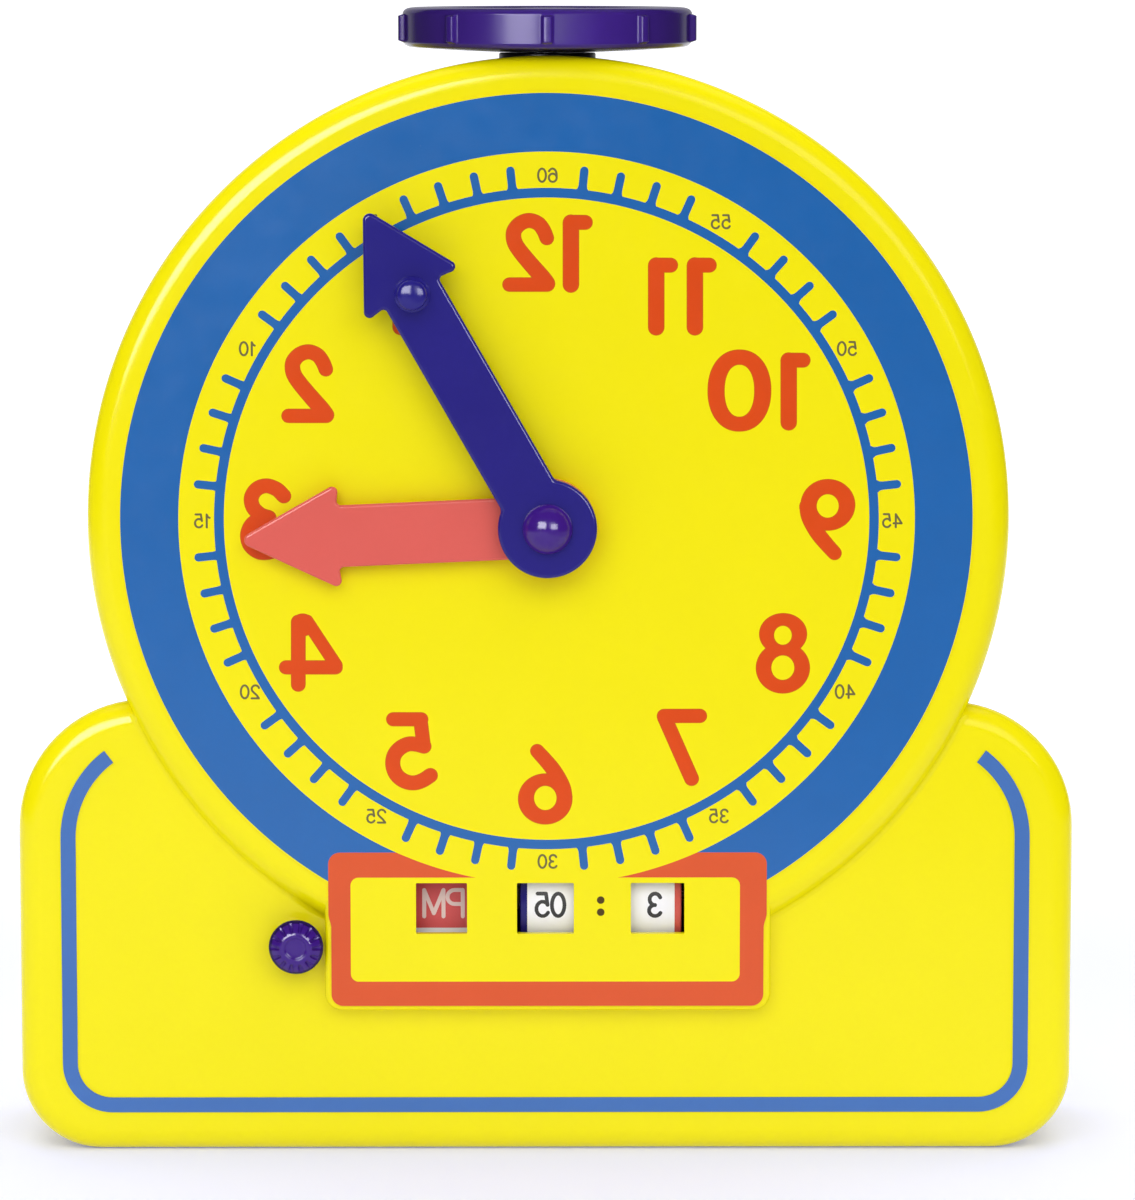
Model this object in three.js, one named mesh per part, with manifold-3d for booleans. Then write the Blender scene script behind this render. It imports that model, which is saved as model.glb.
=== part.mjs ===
// Teaching clock: a free-standing demonstration clock with a geared pair of hands,
// a hand wheel on top, two number drums and a flag behind three display windows.
// Millimetres. +X to the viewer's right, +Y into the clock (the dial faces -Y), +Z up.
// The origin is on the underside of the base, on the hands' centre line.
//
// The dial reads anticlockwise: 12 at the top, 3 on the viewer's left.
//
// One turn of the top wheel is one hour. A vertical shaft carries two mitre pinions:
// the upper turns the minute arbor, the lower turns a cross shaft for the drums.
import * as THREE from "three";
import { mergeVertices } from "three/addons/utils/BufferGeometryUtils.js";
import Module from "manifold-3d";

const wasm = await Module();
wasm.setup();

// ---------------------------------------------------------------- driving dimensions
const WALL = 2.5; // moulded wall
const SEAM_Y = -21; // where the shallow front casing meets the deep rear one
const SEAM_GAP = 0.3;
const REAR_Y = 38; // outside of the back
const DIAL_Y = -37; // front of the raised disc and of the raised display plaque
const BASE_Y = -31.5; // front of the base
const DISC_Z = 184.5; // height of the dial's centre
const AXIS_Z = 183.1; // height of the hands' centre, a little below it
const DISC_R = 132.05; // raised disc
const EDGE_R = 6.5; // rounding round the edges of the disc
const BASE_EDGE_R = 6.5; // and of the base
const BASE_HALF = 152.3; // half the width of the base
const BASE_TOP = 131.2;
const SHOULDER_R = 36.2;
const FOOT_R = 23.1; // lower corners of the base
const PLAQUE = { x: 64.2, z0: 42.4, z1: 90, r: 5 };

const WIN_W = 15.4, WIN_H = 14.8, WIN_Z = 72.4; // display windows
const WIN_X = { flag: -30.5, minute: -0.6, hour: 31.7 };

const SHAFT_Y = 2; // vertical shaft, at x = 0
const SHAFT_R = 3;
const KNOB = { r: 41.9, z0: 317.15, z1: 330, rib: 9, ribOut: 1.8, ribW: 3.4, ribH: 8.3 };
const NECK_R = 14;

const MITRE = { z: 16, m: 1.5, r: 12, face: 5 }; // mitre gears, 1:1
const REDUCE_A = { pinion: 8, wheel: 24, m: 1.5 }; // 3:1, centres 24
const REDUCE_B = { pinion: 8, wheel: 32, m: 1.2 }; // 4:1, centres 24
const TRAIN_C = 24;
const SPUR = { z: 26, m: 1.5 }; // cross shaft to minute drum, 1:1, centres 39

const DRUM_R = 24, STRIP_T = 0.3;
const DRUM = { y: -9.2, z: WIN_Z }; // drum axle
const CROSS = { y: SHAFT_Y, z: 0 }; // cross shaft
CROSS.z = DRUM.z + Math.sqrt((SPUR.z * SPUR.m) ** 2 - (CROSS.y - DRUM.y) ** 2);
const IDLER = (() => {
  const dy = CROSS.y - DRUM.y, dz = CROSS.z - DRUM.z, d = Math.hypot(dy, dz);
  const off = Math.sqrt(TRAIN_C ** 2 - (d / 2) ** 2);
  return { y: (CROSS.y + DRUM.y) / 2 + (off * dz) / d, z: (CROSS.z + DRUM.z) / 2 - (off * dy) / d };
})();
const FLAG = { x: -72.4, z: 61.4, r0: 31, r1: 53.4, turn: 21.5 };

// ---------------------------------------------------------------- colours
const paint = (hex, rough = 0.35, metal = 0) =>
  new THREE.MeshStandardMaterial({ color: hex, roughness: rough, metalness: metal });
const YELLOW = paint(0xf7e81a, 0.3), PURPLE = paint(0x3a2a8c, 0.3), CORAL = paint(0xe66a66, 0.4);
const BLUE = paint(0x2c69b0, 0.4), BLACK = paint(0x15131a, 0.5), WHITE = paint(0xeceae8, 0.6);
const NATURAL = paint(0xe8e4d6, 0.5), STEEL = paint(0xb9bcc0, 0.3, 1), BRASS = paint(0xc9a55a, 0.35, 1);

// ---------------------------------------------------------------- helpers
function solid(geometry) {
  const g = geometry.clone();
  g.deleteAttribute("normal");
  g.deleteAttribute("uv");
  const m = mergeVertices(g.index ? g : g, 1e-4);
  const mesh = new wasm.Mesh({
    numProp: 3,
    vertProperties: Float32Array.from(m.attributes.position.array),
    triVerts: Uint32Array.from(m.index.array),
  });
  return new wasm.Manifold(mesh);
}
function geometryOf(man) {
  const mesh = man.getMesh();
  const pos = new Float32Array(mesh.numVert * 3);
  for (let i = 0; i < mesh.numVert; i++)
    for (let k = 0; k < 3; k++) pos[3 * i + k] = mesh.vertProperties[mesh.numProp * i + k];
  const g = new THREE.BufferGeometry();
  g.setAttribute("position", new THREE.BufferAttribute(pos, 3));
  g.setIndex(new THREE.BufferAttribute(Uint32Array.from(mesh.triVerts), 1));
  g.computeVertexNormals();
  return g;
}
const shapeOf = (pts) => new THREE.Shape(pts.map(([x, y]) => new THREE.Vector2(x, y)));
const arc = (cx, cy, r, a0, a1, n) =>
  Array.from({ length: n + 1 }, (_, i) => {
    const a = THREE.MathUtils.degToRad(a0 + ((a1 - a0) * i) / n);
    return [cx + r * Math.cos(a), cy + r * Math.sin(a)];
  });
const circle = (cx, cy, r, n) => arc(cx, cy, r, 0, 360, n).slice(0, n);
// Rounded rectangle, anticlockwise; r is one radius or [lower right, upper right, upper left, lower left].
function roundRect(x0, y0, x1, y1, r, n = 4) {
  const [a, b, c, d] = Array.isArray(r) ? r : [r, r, r, r];
  return [
    ...arc(x1 - a, y0 + a, a, -90, 0, n), ...arc(x1 - b, y1 - b, b, 0, 90, n),
    ...arc(x0 + c, y1 - c, c, 90, 180, n), ...arc(x0 + d, y0 + d, d, 180, 270, n),
  ];
}
// A front-view outline (x right, z up) made solid from yFront to yBack, with edges rounded by r if given.
// draft, if given, carries each vertex (x, y, z) to its place in a moulding that narrows towards the back.
function plate(pts, yFront, yBack, r = 0, seg = 3, draft = null) {
  const depth = yBack - yFront;
  const g = new THREE.ExtrudeGeometry(shapeOf(pts), r
    ? { depth: depth - 2 * r, bevelEnabled: true, bevelThickness: r, bevelSize: r, bevelOffset: -r, bevelSegments: seg, steps: 1 }
    : { depth, bevelEnabled: false, steps: 1 });
  if (r) g.translate(0, 0, r);
  g.rotateX(Math.PI / 2).translate(0, yBack, 0);
  const p = g.attributes.position;
  for (let i = 0; draft && i < p.count; i++) {
    const [x, z] = draft(p.getX(i), p.getY(i), p.getZ(i));
    p.setXYZ(i, x, p.getY(i), z);
  }
  return solid(g);
}
// Axial orientations. Each takes a geometry built along local +Z.
const toFront = (g, x, y, z) => g.rotateX(Math.PI / 2).translate(x, y, z); // local z -> -Y
const toBack = (g, x, y, z) => g.rotateX(-Math.PI / 2).translate(x, y, z); // local z -> +Y
const toRight = (g, x, y, z) => g.rotateY(Math.PI / 2).translate(x, y, z); // local z -> +X
const toDown = (g, x, y, z) => g.rotateX(Math.PI).translate(x, y, z); // local z -> -Z
const rod = (r, h, n = 16) => new THREE.CylinderGeometry(r, r, h, n).rotateX(Math.PI / 2).translate(0, 0, h / 2);
// A solid of revolution about local Z from [radius, height] pairs, anticlockwise in the r-z half plane.
function turned(profile, n = 24) {
  const pts = profile.map(([r, h]) => new THREE.Vector2(r, h));
  const first = profile[0], last = profile[profile.length - 1];
  if (first[0] !== 0 || last[0] !== 0) pts.push(pts[0].clone());
  return new THREE.LatheGeometry(pts, n).rotateX(Math.PI / 2).translate(0, 0, 0);
}
const rodX = (r, x0, x1, y, z, n = 16) => solid(toRight(rod(r, x1 - x0, n), x0, y, z));
const rodY = (r, y0, y1, x, z, n = 16) => solid(toBack(rod(r, y1 - y0, n), x, y0, z));
const rodZ = (r, z0, z1, x, y, n = 16) => solid(rod(r, z1 - z0, n).translate(x, y, z0));
const slab = (x0, x1, y0, y1, z0, z1) =>
  solid(new THREE.BoxGeometry(x1 - x0, y1 - y0, z1 - z0).translate((x0 + x1) / 2, (y0 + y1) / 2, (z0 + z1) / 2));

const group = new THREE.Group();
function add(name, shape, material) {
  const g = shape instanceof THREE.BufferGeometry ? shape : geometryOf(shape);
  const mesh = new THREE.Mesh(g, material);
  mesh.name = name;
  group.add(mesh);
}

// ---------------------------------------------------------------- gears
// Involute outline with straight facets that lie inside the true tooth. One tooth points along angle turn (radians).
function gearOutline(z, m, turn, { x = 0, ha = 0.9, hf = 1.25, slack = 0.12, fine = false } = {}) {
  const a = (20 * Math.PI) / 180, inv = (t) => Math.tan(t) - t;
  const rp = (m * z) / 2, rb = rp * Math.cos(a), ra = rp + (ha + x) * m, rf = rp - (hf - x) * m;
  const half = (m * (Math.PI / 2 + 2 * x * Math.tan(a)) - slack) / (2 * rp);
  const at = (r) => (r <= rb ? half + inv(a) : half + inv(a) - inv(Math.acos(rb / r)));
  const radii = fine ? [rf, Math.max(rb, rf + 0.05), (rb + ra) / 2, ra] : [rf, ra];
  const pts = [];
  for (let i = 0; i < z; i++) {
    const c = turn + (2 * Math.PI * i) / z;
    for (const r of radii) pts.push([r * Math.cos(c - at(r)), r * Math.sin(c - at(r))]);
    for (const r of [...radii].reverse()) pts.push([r * Math.cos(c + at(r)), r * Math.sin(c + at(r))]);
  }
  return pts;
}
const spurBlank = (pts, h) => new THREE.ExtrudeGeometry(shapeOf(pts), { depth: h, bevelEnabled: false, steps: 1 });
// Mitre gear: heel at local z = 0, teeth taper to the apex at z = MITRE.r, hub behind the heel.
function mitre(turn, hub) {
  const g = spurBlank(gearOutline(MITRE.z, MITRE.m, turn, { ha: 0.75, hf: 1.2, slack: 0.3 }), MITRE.face);
  const p = g.attributes.position;
  for (let i = 0; i < p.count; i++) {
    const k = 1 - p.getZ(i) / MITRE.r;
    p.setXY(i, p.getX(i) * k, p.getY(i) * k);
  }
  return solid(g).add(solid(rod(8, hub + 0.5, 20).translate(0, 0, -hub)));
}
const PIN_A = { x: 0.5, ha: 0.75, hf: 1.3, slack: 0.12, fine: true }, WHEEL_A = { x: -0.5, ha: 0.95, hf: 1.2, slack: 0.12 };

// ---------------------------------------------------------------- casing
const discOutline = (r, n = 64) => circle(0.25, DISC_Z, r, n);
const baseOutline = (d, n = 5) => roundRect(-BASE_HALF + d, d, BASE_HALF - d, BASE_TOP - d,
  [FOOT_R - d, SHOULDER_R - d, SHOULDER_R + 1 - d, FOOT_R - d], n);
const plaqueOutline = (d) => roundRect(-PLAQUE.x + d, PLAQUE.z0 + d, PLAQUE.x - d, PLAQUE.z1 - d, PLAQUE.r - Math.min(d, 3), 3);
// The base keeps its flat underside; its top slopes down to the back, and the disc narrows slightly.
// The base is also set a little to the left, with its left shoulder slightly higher than its right one.
const baseDraft = (x, y, z) => [x - 0.5, z * (1 - 0.00112 * Math.max(0, y + 25)) * (1 - 0.000025 * x)];
const discDraft = (x, y, z) => {
  const k = 1 - 0.0002 * Math.max(0, y + 30.5);
  return [x * k, DISC_Z + (z - DISC_Z) * k];
};
const outer = plate(discOutline(DISC_R), DIAL_Y, REAR_Y, EDGE_R, 3, discDraft)
  .add(plate(baseOutline(0), BASE_Y, REAR_Y, BASE_EDGE_R, 3, baseDraft))
  .add(plate(plaqueOutline(0), DIAL_Y, DIAL_Y + 12, 1.5, 2));
const inner = plate(discOutline(DISC_R - WALL, 48), DIAL_Y + WALL, REAR_Y - WALL, EDGE_R - WALL, 1, discDraft)
  .add(plate(baseOutline(WALL, 3), BASE_Y + WALL, REAR_Y - WALL, BASE_EDGE_R - WALL, 1, baseDraft))
  .add(plate(plaqueOutline(WALL), DIAL_Y + WALL, DIAL_Y + 12, 0));
const FAR = 400;
const frontSide = slab(-FAR, FAR, -100, SEAM_Y, -50, FAR);
const rearSide = slab(-FAR, FAR, SEAM_Y + SEAM_GAP, 100, -50, FAR);
const skin = outer.subtract(inner);
const CASE_SCREWS = [[-95, 250], [95, 250], [-128, 108], [128, 108], [-136, 17], [136, 17]];
const FRAME_SCREWS = [[-27, 34], [47, 34], [-27, 124], [47, 124]];
const BRIDGE_SCREWS = [[-28, 156], [28, 156], [-28, 214], [28, 214]];
const FRAME_Y = 30.8, BRIDGE_Y = -20.5; // front faces of the two inner carriers
const discInside = DIAL_Y + WALL - 0.5, baseInside = BASE_Y + WALL - 0.5;

let front = skin.intersect(frontSide);
for (const [x, z] of CASE_SCREWS)
  front = front.add(rodY(4.6, z > 200 ? discInside : baseInside, SEAM_Y, x, z, 8));
for (const [x, z] of FRAME_SCREWS)
  front = front.add(rodY(4.6, z > 100 || z < 40 ? (z > 100 ? discInside : baseInside) : discInside, FRAME_Y - 0.05, x, z, 8));
for (const [x, z] of BRIDGE_SCREWS) front = front.add(rodY(4.2, discInside, BRIDGE_Y - 0.05, x, z, 8));
for (const [x, z] of CASE_SCREWS) front = front.subtract(rodY(1.7, -26, SEAM_Y + 1, x, z, 8));
for (const [x, z] of FRAME_SCREWS) front = front.subtract(rodY(1.7, 12, FRAME_Y + 1, x, z, 8));
for (const [x, z] of BRIDGE_SCREWS) front = front.subtract(rodY(1.5, -31, BRIDGE_Y + 1, x, z, 8));
for (const x of Object.values(WIN_X))
  front = front.subtract(slab(x - WIN_W / 2, x + WIN_W / 2, DIAL_Y - 2, DIAL_Y + 8, WIN_Z - WIN_H / 2, WIN_Z + WIN_H / 2));
front = front
  .subtract(rodY(4.9, DIAL_Y - 2, DIAL_Y + 8, 0, AXIS_Z, 24)) // hour pipe
  .subtract(rodY(3.4, BASE_Y - 2, BASE_Y + 6, FLAG.x, FLAG.z, 20)); // flag spindle
add("front_casing", front, YELLOW);

let rear = skin.intersect(rearSide).subtract(rodZ(NECK_R + 0.2, 300, 330, 0, SHAFT_Y, 24)); // neck of the top wheel
for (const [x, z] of CASE_SCREWS) rear = rear.add(rodY(6, SEAM_Y + SEAM_GAP, REAR_Y - WALL + 0.5, x, z, 12));
for (const [x, z] of CASE_SCREWS)
  rear = rear.subtract(rodY(1.9, SEAM_Y - 1, REAR_Y, x, z, 8)).subtract(rodY(3.7, -8, REAR_Y + 1, x, z, 12));
add("rear_casing", rear, YELLOW);

// Printed sheets on the front
const labelHoles = Object.values(WIN_X).map((x) =>
  slab(x - WIN_W / 2, x + WIN_W / 2, DIAL_Y - 2, DIAL_Y + 1, WIN_Z - WIN_H / 2, WIN_Z + WIN_H / 2));
let label = plate(circle(-0.3, DISC_Z, 121.95, 64), DIAL_Y - 0.4, DIAL_Y - 0.05)
  .add(plate(roundRect(-62.6, 43.95, 62.4, 88.7, 3.4, 3), DIAL_Y - 0.4, DIAL_Y - 0.05))
  .subtract(rodY(6, DIAL_Y - 2, DIAL_Y + 1, 0, AXIS_Z, 24));
for (const h of labelHoles) label = label.subtract(h);
add("dial_label", label, YELLOW);

const SX = 139.7, SW = 4.3, SZ = 11.65, SR = 14.3, SRU = 31.9, SUZ = 91.9;
const stripeOuter = [...arc(SX - SRU, SUZ, SRU, 53.2, 0, 7), ...arc(SX - SR, SZ + SR, SR, 0, -90, 5),
  ...arc(-SX + SR, SZ + SR, SR, -90, -180, 5), ...arc(-SX + SRU, SUZ, SRU, 180, 126.8, 7)];
const stripeInner = [...arc(-SX + SRU, SUZ, SRU - SW, 126.8, 180, 7), ...arc(-SX + SR, SZ + SR, SR - SW, 180, 270, 5),
  ...arc(SX - SR, SZ + SR, SR - SW, -90, 0, 5), ...arc(SX - SRU, SUZ, SRU - SW, 0, 53.2, 7)];
add("base_stripe", plate([...stripeOuter, ...stripeInner].reverse().map(([x, z]) => [x - 0.7, z]), BASE_Y - 0.35, BASE_Y - 0.05), BLUE);

// ---------------------------------------------------------------- top wheel and vertical shaft
let wheel = solid(turned([
  [0, KNOB.z0], [16, KNOB.z0], [39.6, KNOB.z0 + 1.3], [41.2, KNOB.z0 + 1.8], [KNOB.r, KNOB.z0 + 2.8],
  [KNOB.r, KNOB.z1 - 1.9], [40.8, KNOB.z1 - 0.6], [36, KNOB.z1], [0, KNOB.z1],
], 60));
const ribZ = (KNOB.z0 + KNOB.z1) / 2 + 0.4;
for (let i = 0; i < KNOB.rib; i++) {
  const g = new THREE.ExtrudeGeometry(
    shapeOf(arc(0, 0, KNOB.ribW / 2, -90, 90, 4).map(([a, b]) => [(a * 2 * (KNOB.ribOut + 0.35)) / KNOB.ribW, b])),
    { depth: KNOB.ribH, bevelEnabled: false, steps: 1 },
  ).translate(KNOB.r - 0.35, 0, ribZ - KNOB.ribH / 2).rotateZ(-Math.PI / 2 + (i * 2 * Math.PI) / KNOB.rib);
  wheel = wheel.add(solid(g));
}
wheel = wheel.translate(0, SHAFT_Y, 0).subtract(rodZ(SHAFT_R + 0.05, 300, 327.05, 0, SHAFT_Y));
add("top_wheel", wheel, PURPLE);
add("neck_collar", solid(turned([[3.35, 308.5], [17.5, 308.5], [17.5, 311.5], [NECK_R, 311.5], [NECK_R, 316.8], [3.35, 316.8]], 24)
  .translate(0, SHAFT_Y, 0)), BLACK);
add("drive_shaft", rodZ(SHAFT_R, CROSS.z + 7.2, 327, 0, SHAFT_Y), STEEL);
add("shaft_clip", rodZ(6.2, 305.6, 307.4, 0, SHAFT_Y, 20).subtract(rodZ(SHAFT_R + 0.05, 305, 308, 0, SHAFT_Y)), STEEL);
const half16 = Math.PI / MITRE.z;
const place = (man, fn) => { // turns a solid through a geometry transform
  return solid(fn(geometryOf(man)));
};
add("upper_mitre_gear", place(mitre(Math.PI / 2, 4), (g) => toDown(g, 0, SHAFT_Y, AXIS_Z + MITRE.r))
  .subtract(rodZ(SHAFT_R + 0.05, AXIS_Z, AXIS_Z + 30, 0, SHAFT_Y)), NATURAL);
add("lower_mitre_gear", place(mitre(Math.PI, 4), (g) => toDown(g, 0, SHAFT_Y, CROSS.z + MITRE.r))
  .subtract(rodZ(SHAFT_R + 0.05, CROSS.z, CROSS.z + 30, 0, SHAFT_Y)), NATURAL);

// ---------------------------------------------------------------- minute arbor and hands
const ARBOR_R = 2.5;
add("minute_arbor", rodY(ARBOR_R, -49.5, -4.4, 0, AXIS_Z), BRASS);
add("minute_mitre_gear", place(mitre(-Math.PI / 2 + half16, 4), (g) => toBack(g, 0, SHAFT_Y - MITRE.r, AXIS_Z))
  .subtract(rodY(ARBOR_R + 0.05, -30, 10, 0, AXIS_Z)), NATURAL);
add("cannon_pinion", solid(toFront(spurBlank(gearOutline(REDUCE_A.pinion, REDUCE_A.m, -Math.PI / 2, PIN_A), 4), 0, -23.5, AXIS_Z))
  .subtract(rodY(ARBOR_R + 0.05, -30, -20, 0, AXIS_Z)), NATURAL);

// A hand: hub, parallel bar and barbed head, pointing along +x in its own plane.
function handOutline(hubR, half, neck, barb, barbX, tip, tipR, n = 18) {
  const a = Math.asin(half / hubR) * (180 / Math.PI);
  return [
    ...arc(0, 0, hubR, a, 360 - a, n),
    [neck, -half], [barbX + 0.6, -barb + 1.2], [barbX + 0.9, -barb + 0.4], [barbX + 1.8, -barb],
    [barbX + 2.9, -barb + 0.15], [tip - 1.4, -tipR * 0.8], [tip - 0.4, -tipR * 0.45], [tip, 0],
    [tip - 0.4, tipR * 0.45], [tip - 1.4, tipR * 0.8], [barbX + 2.9, barb - 0.15],
    [barbX + 1.8, barb], [barbX + 0.9, barb - 0.4], [barbX + 0.6, barb - 1.2], [neck, half],
  ];
}
const spin = (pts, deg) => {
  const a = THREE.MathUtils.degToRad(deg);
  return pts.map(([x, z]) => [x * Math.cos(a) - z * Math.sin(a), AXIS_Z + x * Math.sin(a) + z * Math.cos(a)]);
};
const MIN_AT = 119.8, HOUR_AT = 182.5; // five past three, on an anticlockwise dial
const MIN_HAND = { y0: -47.4, y1: -44.6 }, HOUR_HAND = { y0: -42.4, y1: -39.9 };
const pinAt = spin([[76.8, 0]], MIN_AT)[0];
let minuteHand = plate(spin(handOutline(14.1, 8.7, 77.3, 15.7, 75.7, 104.5, 2.0), MIN_AT), MIN_HAND.y0, MIN_HAND.y1, 0.6, 1)
  .add(solid(toFront(turned([[0, 0], [5.2, 0], [5.0, 0.8], [3.7, 1.1], [4.0, 4.4], [3.2, 6.0], [1.8, 6.7], [0, 6.9]], 18), pinAt[0], MIN_HAND.y0 + 0.4, pinAt[1])))
  .subtract(rodY(ARBOR_R + 0.05, -60, -40, 0, AXIS_Z));
add("minute_hand", minuteHand, PURPLE);
add("hub_cap", solid(toFront(turned([[0, 0], [7.2, 0], [7.2, 0.5], [6.95, 0.9], [6.9, 2.2], [5.9, 3.9], [4.2, 5.1], [2.1, 5.8], [0, 6]], 24), 0, MIN_HAND.y0 - 0.05, AXIS_Z))
  .subtract(rodY(ARBOR_R + 0.05, -49.6, -40, 0, AXIS_Z)), PURPLE);
const pipeR = 4.5;
add("hour_hand", plate(spin(handOutline(14.0, 8.85, 59.8, 15.15, 58.2, 88.5, 2.0), HOUR_AT), HOUR_HAND.y0, HOUR_HAND.y1, 0.6, 1)
  .subtract(rodY(pipeR + 0.05, -60, -30, 0, AXIS_Z, 24)), CORAL);
add("hour_wheel", solid(toFront(spurBlank(gearOutline(REDUCE_B.wheel, REDUCE_B.m, -Math.PI / 2 + Math.PI / REDUCE_B.wheel, WHEEL_A), 3), 0, -30, AXIS_Z))
  .add(rodY(pipeR, -43, -31, 0, AXIS_Z, 24)).subtract(rodY(ARBOR_R + 0.35, -50, -20, 0, AXIS_Z, 20)), NATURAL);
const STUD = { x: 0, z: AXIS_Z - TRAIN_C };
add("motion_gear", solid(toFront(spurBlank(gearOutline(REDUCE_A.wheel, REDUCE_A.m, Math.PI / 2 + Math.PI / REDUCE_A.wheel, WHEEL_A), 3), STUD.x, -24, STUD.z))
  .add(solid(toFront(spurBlank(gearOutline(REDUCE_B.pinion, REDUCE_B.m, Math.PI / 2, PIN_A), 6.5), STUD.x, -26.8, STUD.z)))
  .subtract(rodY(2.3, -40, -20, STUD.x, STUD.z)), NATURAL);
add("motion_stud", rodY(2, -34.2, -18.2, STUD.x, STUD.z), STEEL);

// Bridge behind the hand gears: it carries the arbor and the stud, and its top arm guides the vertical shaft.
let bridge = plate(roundRect(-34, 149, 34, 221, 6, 3), BRIDGE_Y, BRIDGE_Y + 2.5)
  .add(slab(-9, 9, BRIDGE_Y + 1, SHAFT_Y + 8, 206, 209))
  .subtract(rodY(ARBOR_R + 0.35, -30, 0, 0, AXIS_Z, 20))
  .subtract(rodY(2.05, -30, 0, STUD.x, STUD.z))
  .subtract(rodZ(SHAFT_R + 0.35, 200, 220, 0, SHAFT_Y, 20));
for (const [x, z] of BRIDGE_SCREWS) bridge = bridge.subtract(rodY(1.7, -30, 0, x, z, 8));
add("arbor_bridge", bridge, BLACK);

// ---------------------------------------------------------------- cross shaft
const SPUR_X = -16.8;
const angX = (a, b) => Math.atan2(b.y - a.y, -(b.z - a.z)); // angle in a right-facing gear's own plane
const xGear = (pts, x0, x1, at) => solid(toRight(spurBlank(pts, x1 - x0), x0, at.y, at.z));
add("cross_shaft", rodX(SHAFT_R, -25.5, 16.4, CROSS.y, CROSS.z), STEEL);
add("cross_mitre_gear", place(mitre(Math.PI + half16, 2), (g) => toRight(g, -MITRE.r, CROSS.y, CROSS.z))
  .subtract(rodX(SHAFT_R + 0.05, -30, 10, CROSS.y, CROSS.z)), NATURAL);
const turnLD = angX(CROSS, DRUM), turnLI = angX(CROSS, IDLER), turnID = angX(IDLER, DRUM);
add("cross_spur_gear", xGear(gearOutline(SPUR.z, SPUR.m, turnLD, { ha: 0.8, slack: 0.16 }), SPUR_X, SPUR_X + 2.5, CROSS)
  .subtract(rodX(SHAFT_R + 0.05, -30, 10, CROSS.y, CROSS.z)), NATURAL);
add("cross_pinion", xGear(gearOutline(REDUCE_A.pinion, REDUCE_A.m, turnLI, PIN_A), 13.2, 16.2, CROSS)
  .subtract(rodX(SHAFT_R + 0.05, 10, 20, CROSS.y, CROSS.z)), NATURAL);

// ---------------------------------------------------------------- drums
const AXLE_R = 2;
const drumBore = (x0, x1) => rodX(AXLE_R + 0.3, x0, x1, DRUM.y, DRUM.z, 20);
function drum(x0, x1) {
  // a rim with one web and a hub, so that it is a moulding and not a block
  return rodX(DRUM_R, x0, x1, DRUM.y, DRUM.z, 36)
    .subtract(rodX(DRUM_R - 2.5, x0 + 2.2, x1 + 1, DRUM.y, DRUM.z, 36))
    .add(rodX(5, x0, x1, DRUM.y, DRUM.z, 16))
    .subtract(drumBore(x0 - 1, x1 + 1));
}
const ring = (x0, x1, r0, r1) => rodX(r1, x0, x1, DRUM.y, DRUM.z, 36).subtract(rodX(r0, x0 - 1, x1 + 1, DRUM.y, DRUM.z, 36));
add("minute_drum", drum(-8, 8), PURPLE);
add("minute_number_strip", ring(-5.9, 7.9, DRUM_R + 0.05, DRUM_R + 0.05 + STRIP_T), WHITE);
add("minute_drum_gear", xGear(gearOutline(SPUR.z, SPUR.m, turnLD + Math.PI + Math.PI / SPUR.z, { ha: 0.8, slack: 0.16 }), SPUR_X, SPUR_X + 2.5, DRUM)
  .add(rodX(5, SPUR_X, -8.05, DRUM.y, DRUM.z, 16)).subtract(drumBore(-30, 0)), NATURAL);
// The hour drum's open side faces left, towards its gear.
add("hour_drum", rodX(DRUM_R, 23.2, 38.6, DRUM.y, DRUM.z, 36)
  .subtract(rodX(DRUM_R - 2.5, 22, 36.4, DRUM.y, DRUM.z, 36))
  .add(rodX(5, 23.2, 38.6, DRUM.y, DRUM.z, 16)).subtract(drumBore(20, 40)), CORAL);
add("hour_number_strip", ring(23.3, 36.6, DRUM_R + 0.05, DRUM_R + 0.05 + STRIP_T), WHITE);
add("hour_drum_gear", xGear(gearOutline(REDUCE_B.wheel, REDUCE_B.m, turnID + Math.PI + Math.PI / REDUCE_B.wheel, WHEEL_A), 16.8, 19.6, DRUM)
  .add(rodX(5, 16.8, 23.15, DRUM.y, DRUM.z, 16)).subtract(drumBore(10, 30)), NATURAL);
add("hour_idler_gear", xGear(gearOutline(REDUCE_A.wheel, REDUCE_A.m, turnLI + Math.PI + Math.PI / REDUCE_A.wheel, WHEEL_A), 13.3, 15.8, IDLER)
  .add(xGear(gearOutline(REDUCE_B.pinion, REDUCE_B.m, turnID, PIN_A), 15.4, 20, IDLER))
  .subtract(rodX(2.3, 10, 30, IDLER.y, IDLER.z)), NATURAL);
add("idler_stud", rodX(2, 9.6, 20.8, IDLER.y, IDLER.z), STEEL);
add("drum_axle", rodX(AXLE_R, -26, 44.6, DRUM.y, DRUM.z), STEEL);

// Frame behind the drums: a back plate with three webs that carry the axle, the cross shaft and the idler's stud.
const web = (pts, x0, x1) => { // pts are [y, z]
  const g = new THREE.ExtrudeGeometry(shapeOf(pts.map(([y, z]) => [-z, y])), { depth: x1 - x0, bevelEnabled: false, steps: 1 });
  return solid(toRight(g, x0, 0, 0));
};
const tall = [[FRAME_Y + 1, 60], [FRAME_Y + 1, CROSS.z + 6.2], [-5, CROSS.z + 6.2], [-16, 82], [-16, 66], [-9, 62]];
const low = [[FRAME_Y + 1, 62], [FRAME_Y + 1, 82], [-16, 79], [-16, 66], [-9, 62]];
let frame = plate(roundRect(-33, 28, 53, 130, 5, 3), FRAME_Y, FRAME_Y + 2.4)
  .add(web(tall, -25, -22.2)).add(web(tall, 9.4, 12.2)).add(web(low, 40.8, 43.6));
for (const [x, z] of FRAME_SCREWS) frame = frame.subtract(rodY(1.9, 20, 40, x, z, 8));
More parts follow.
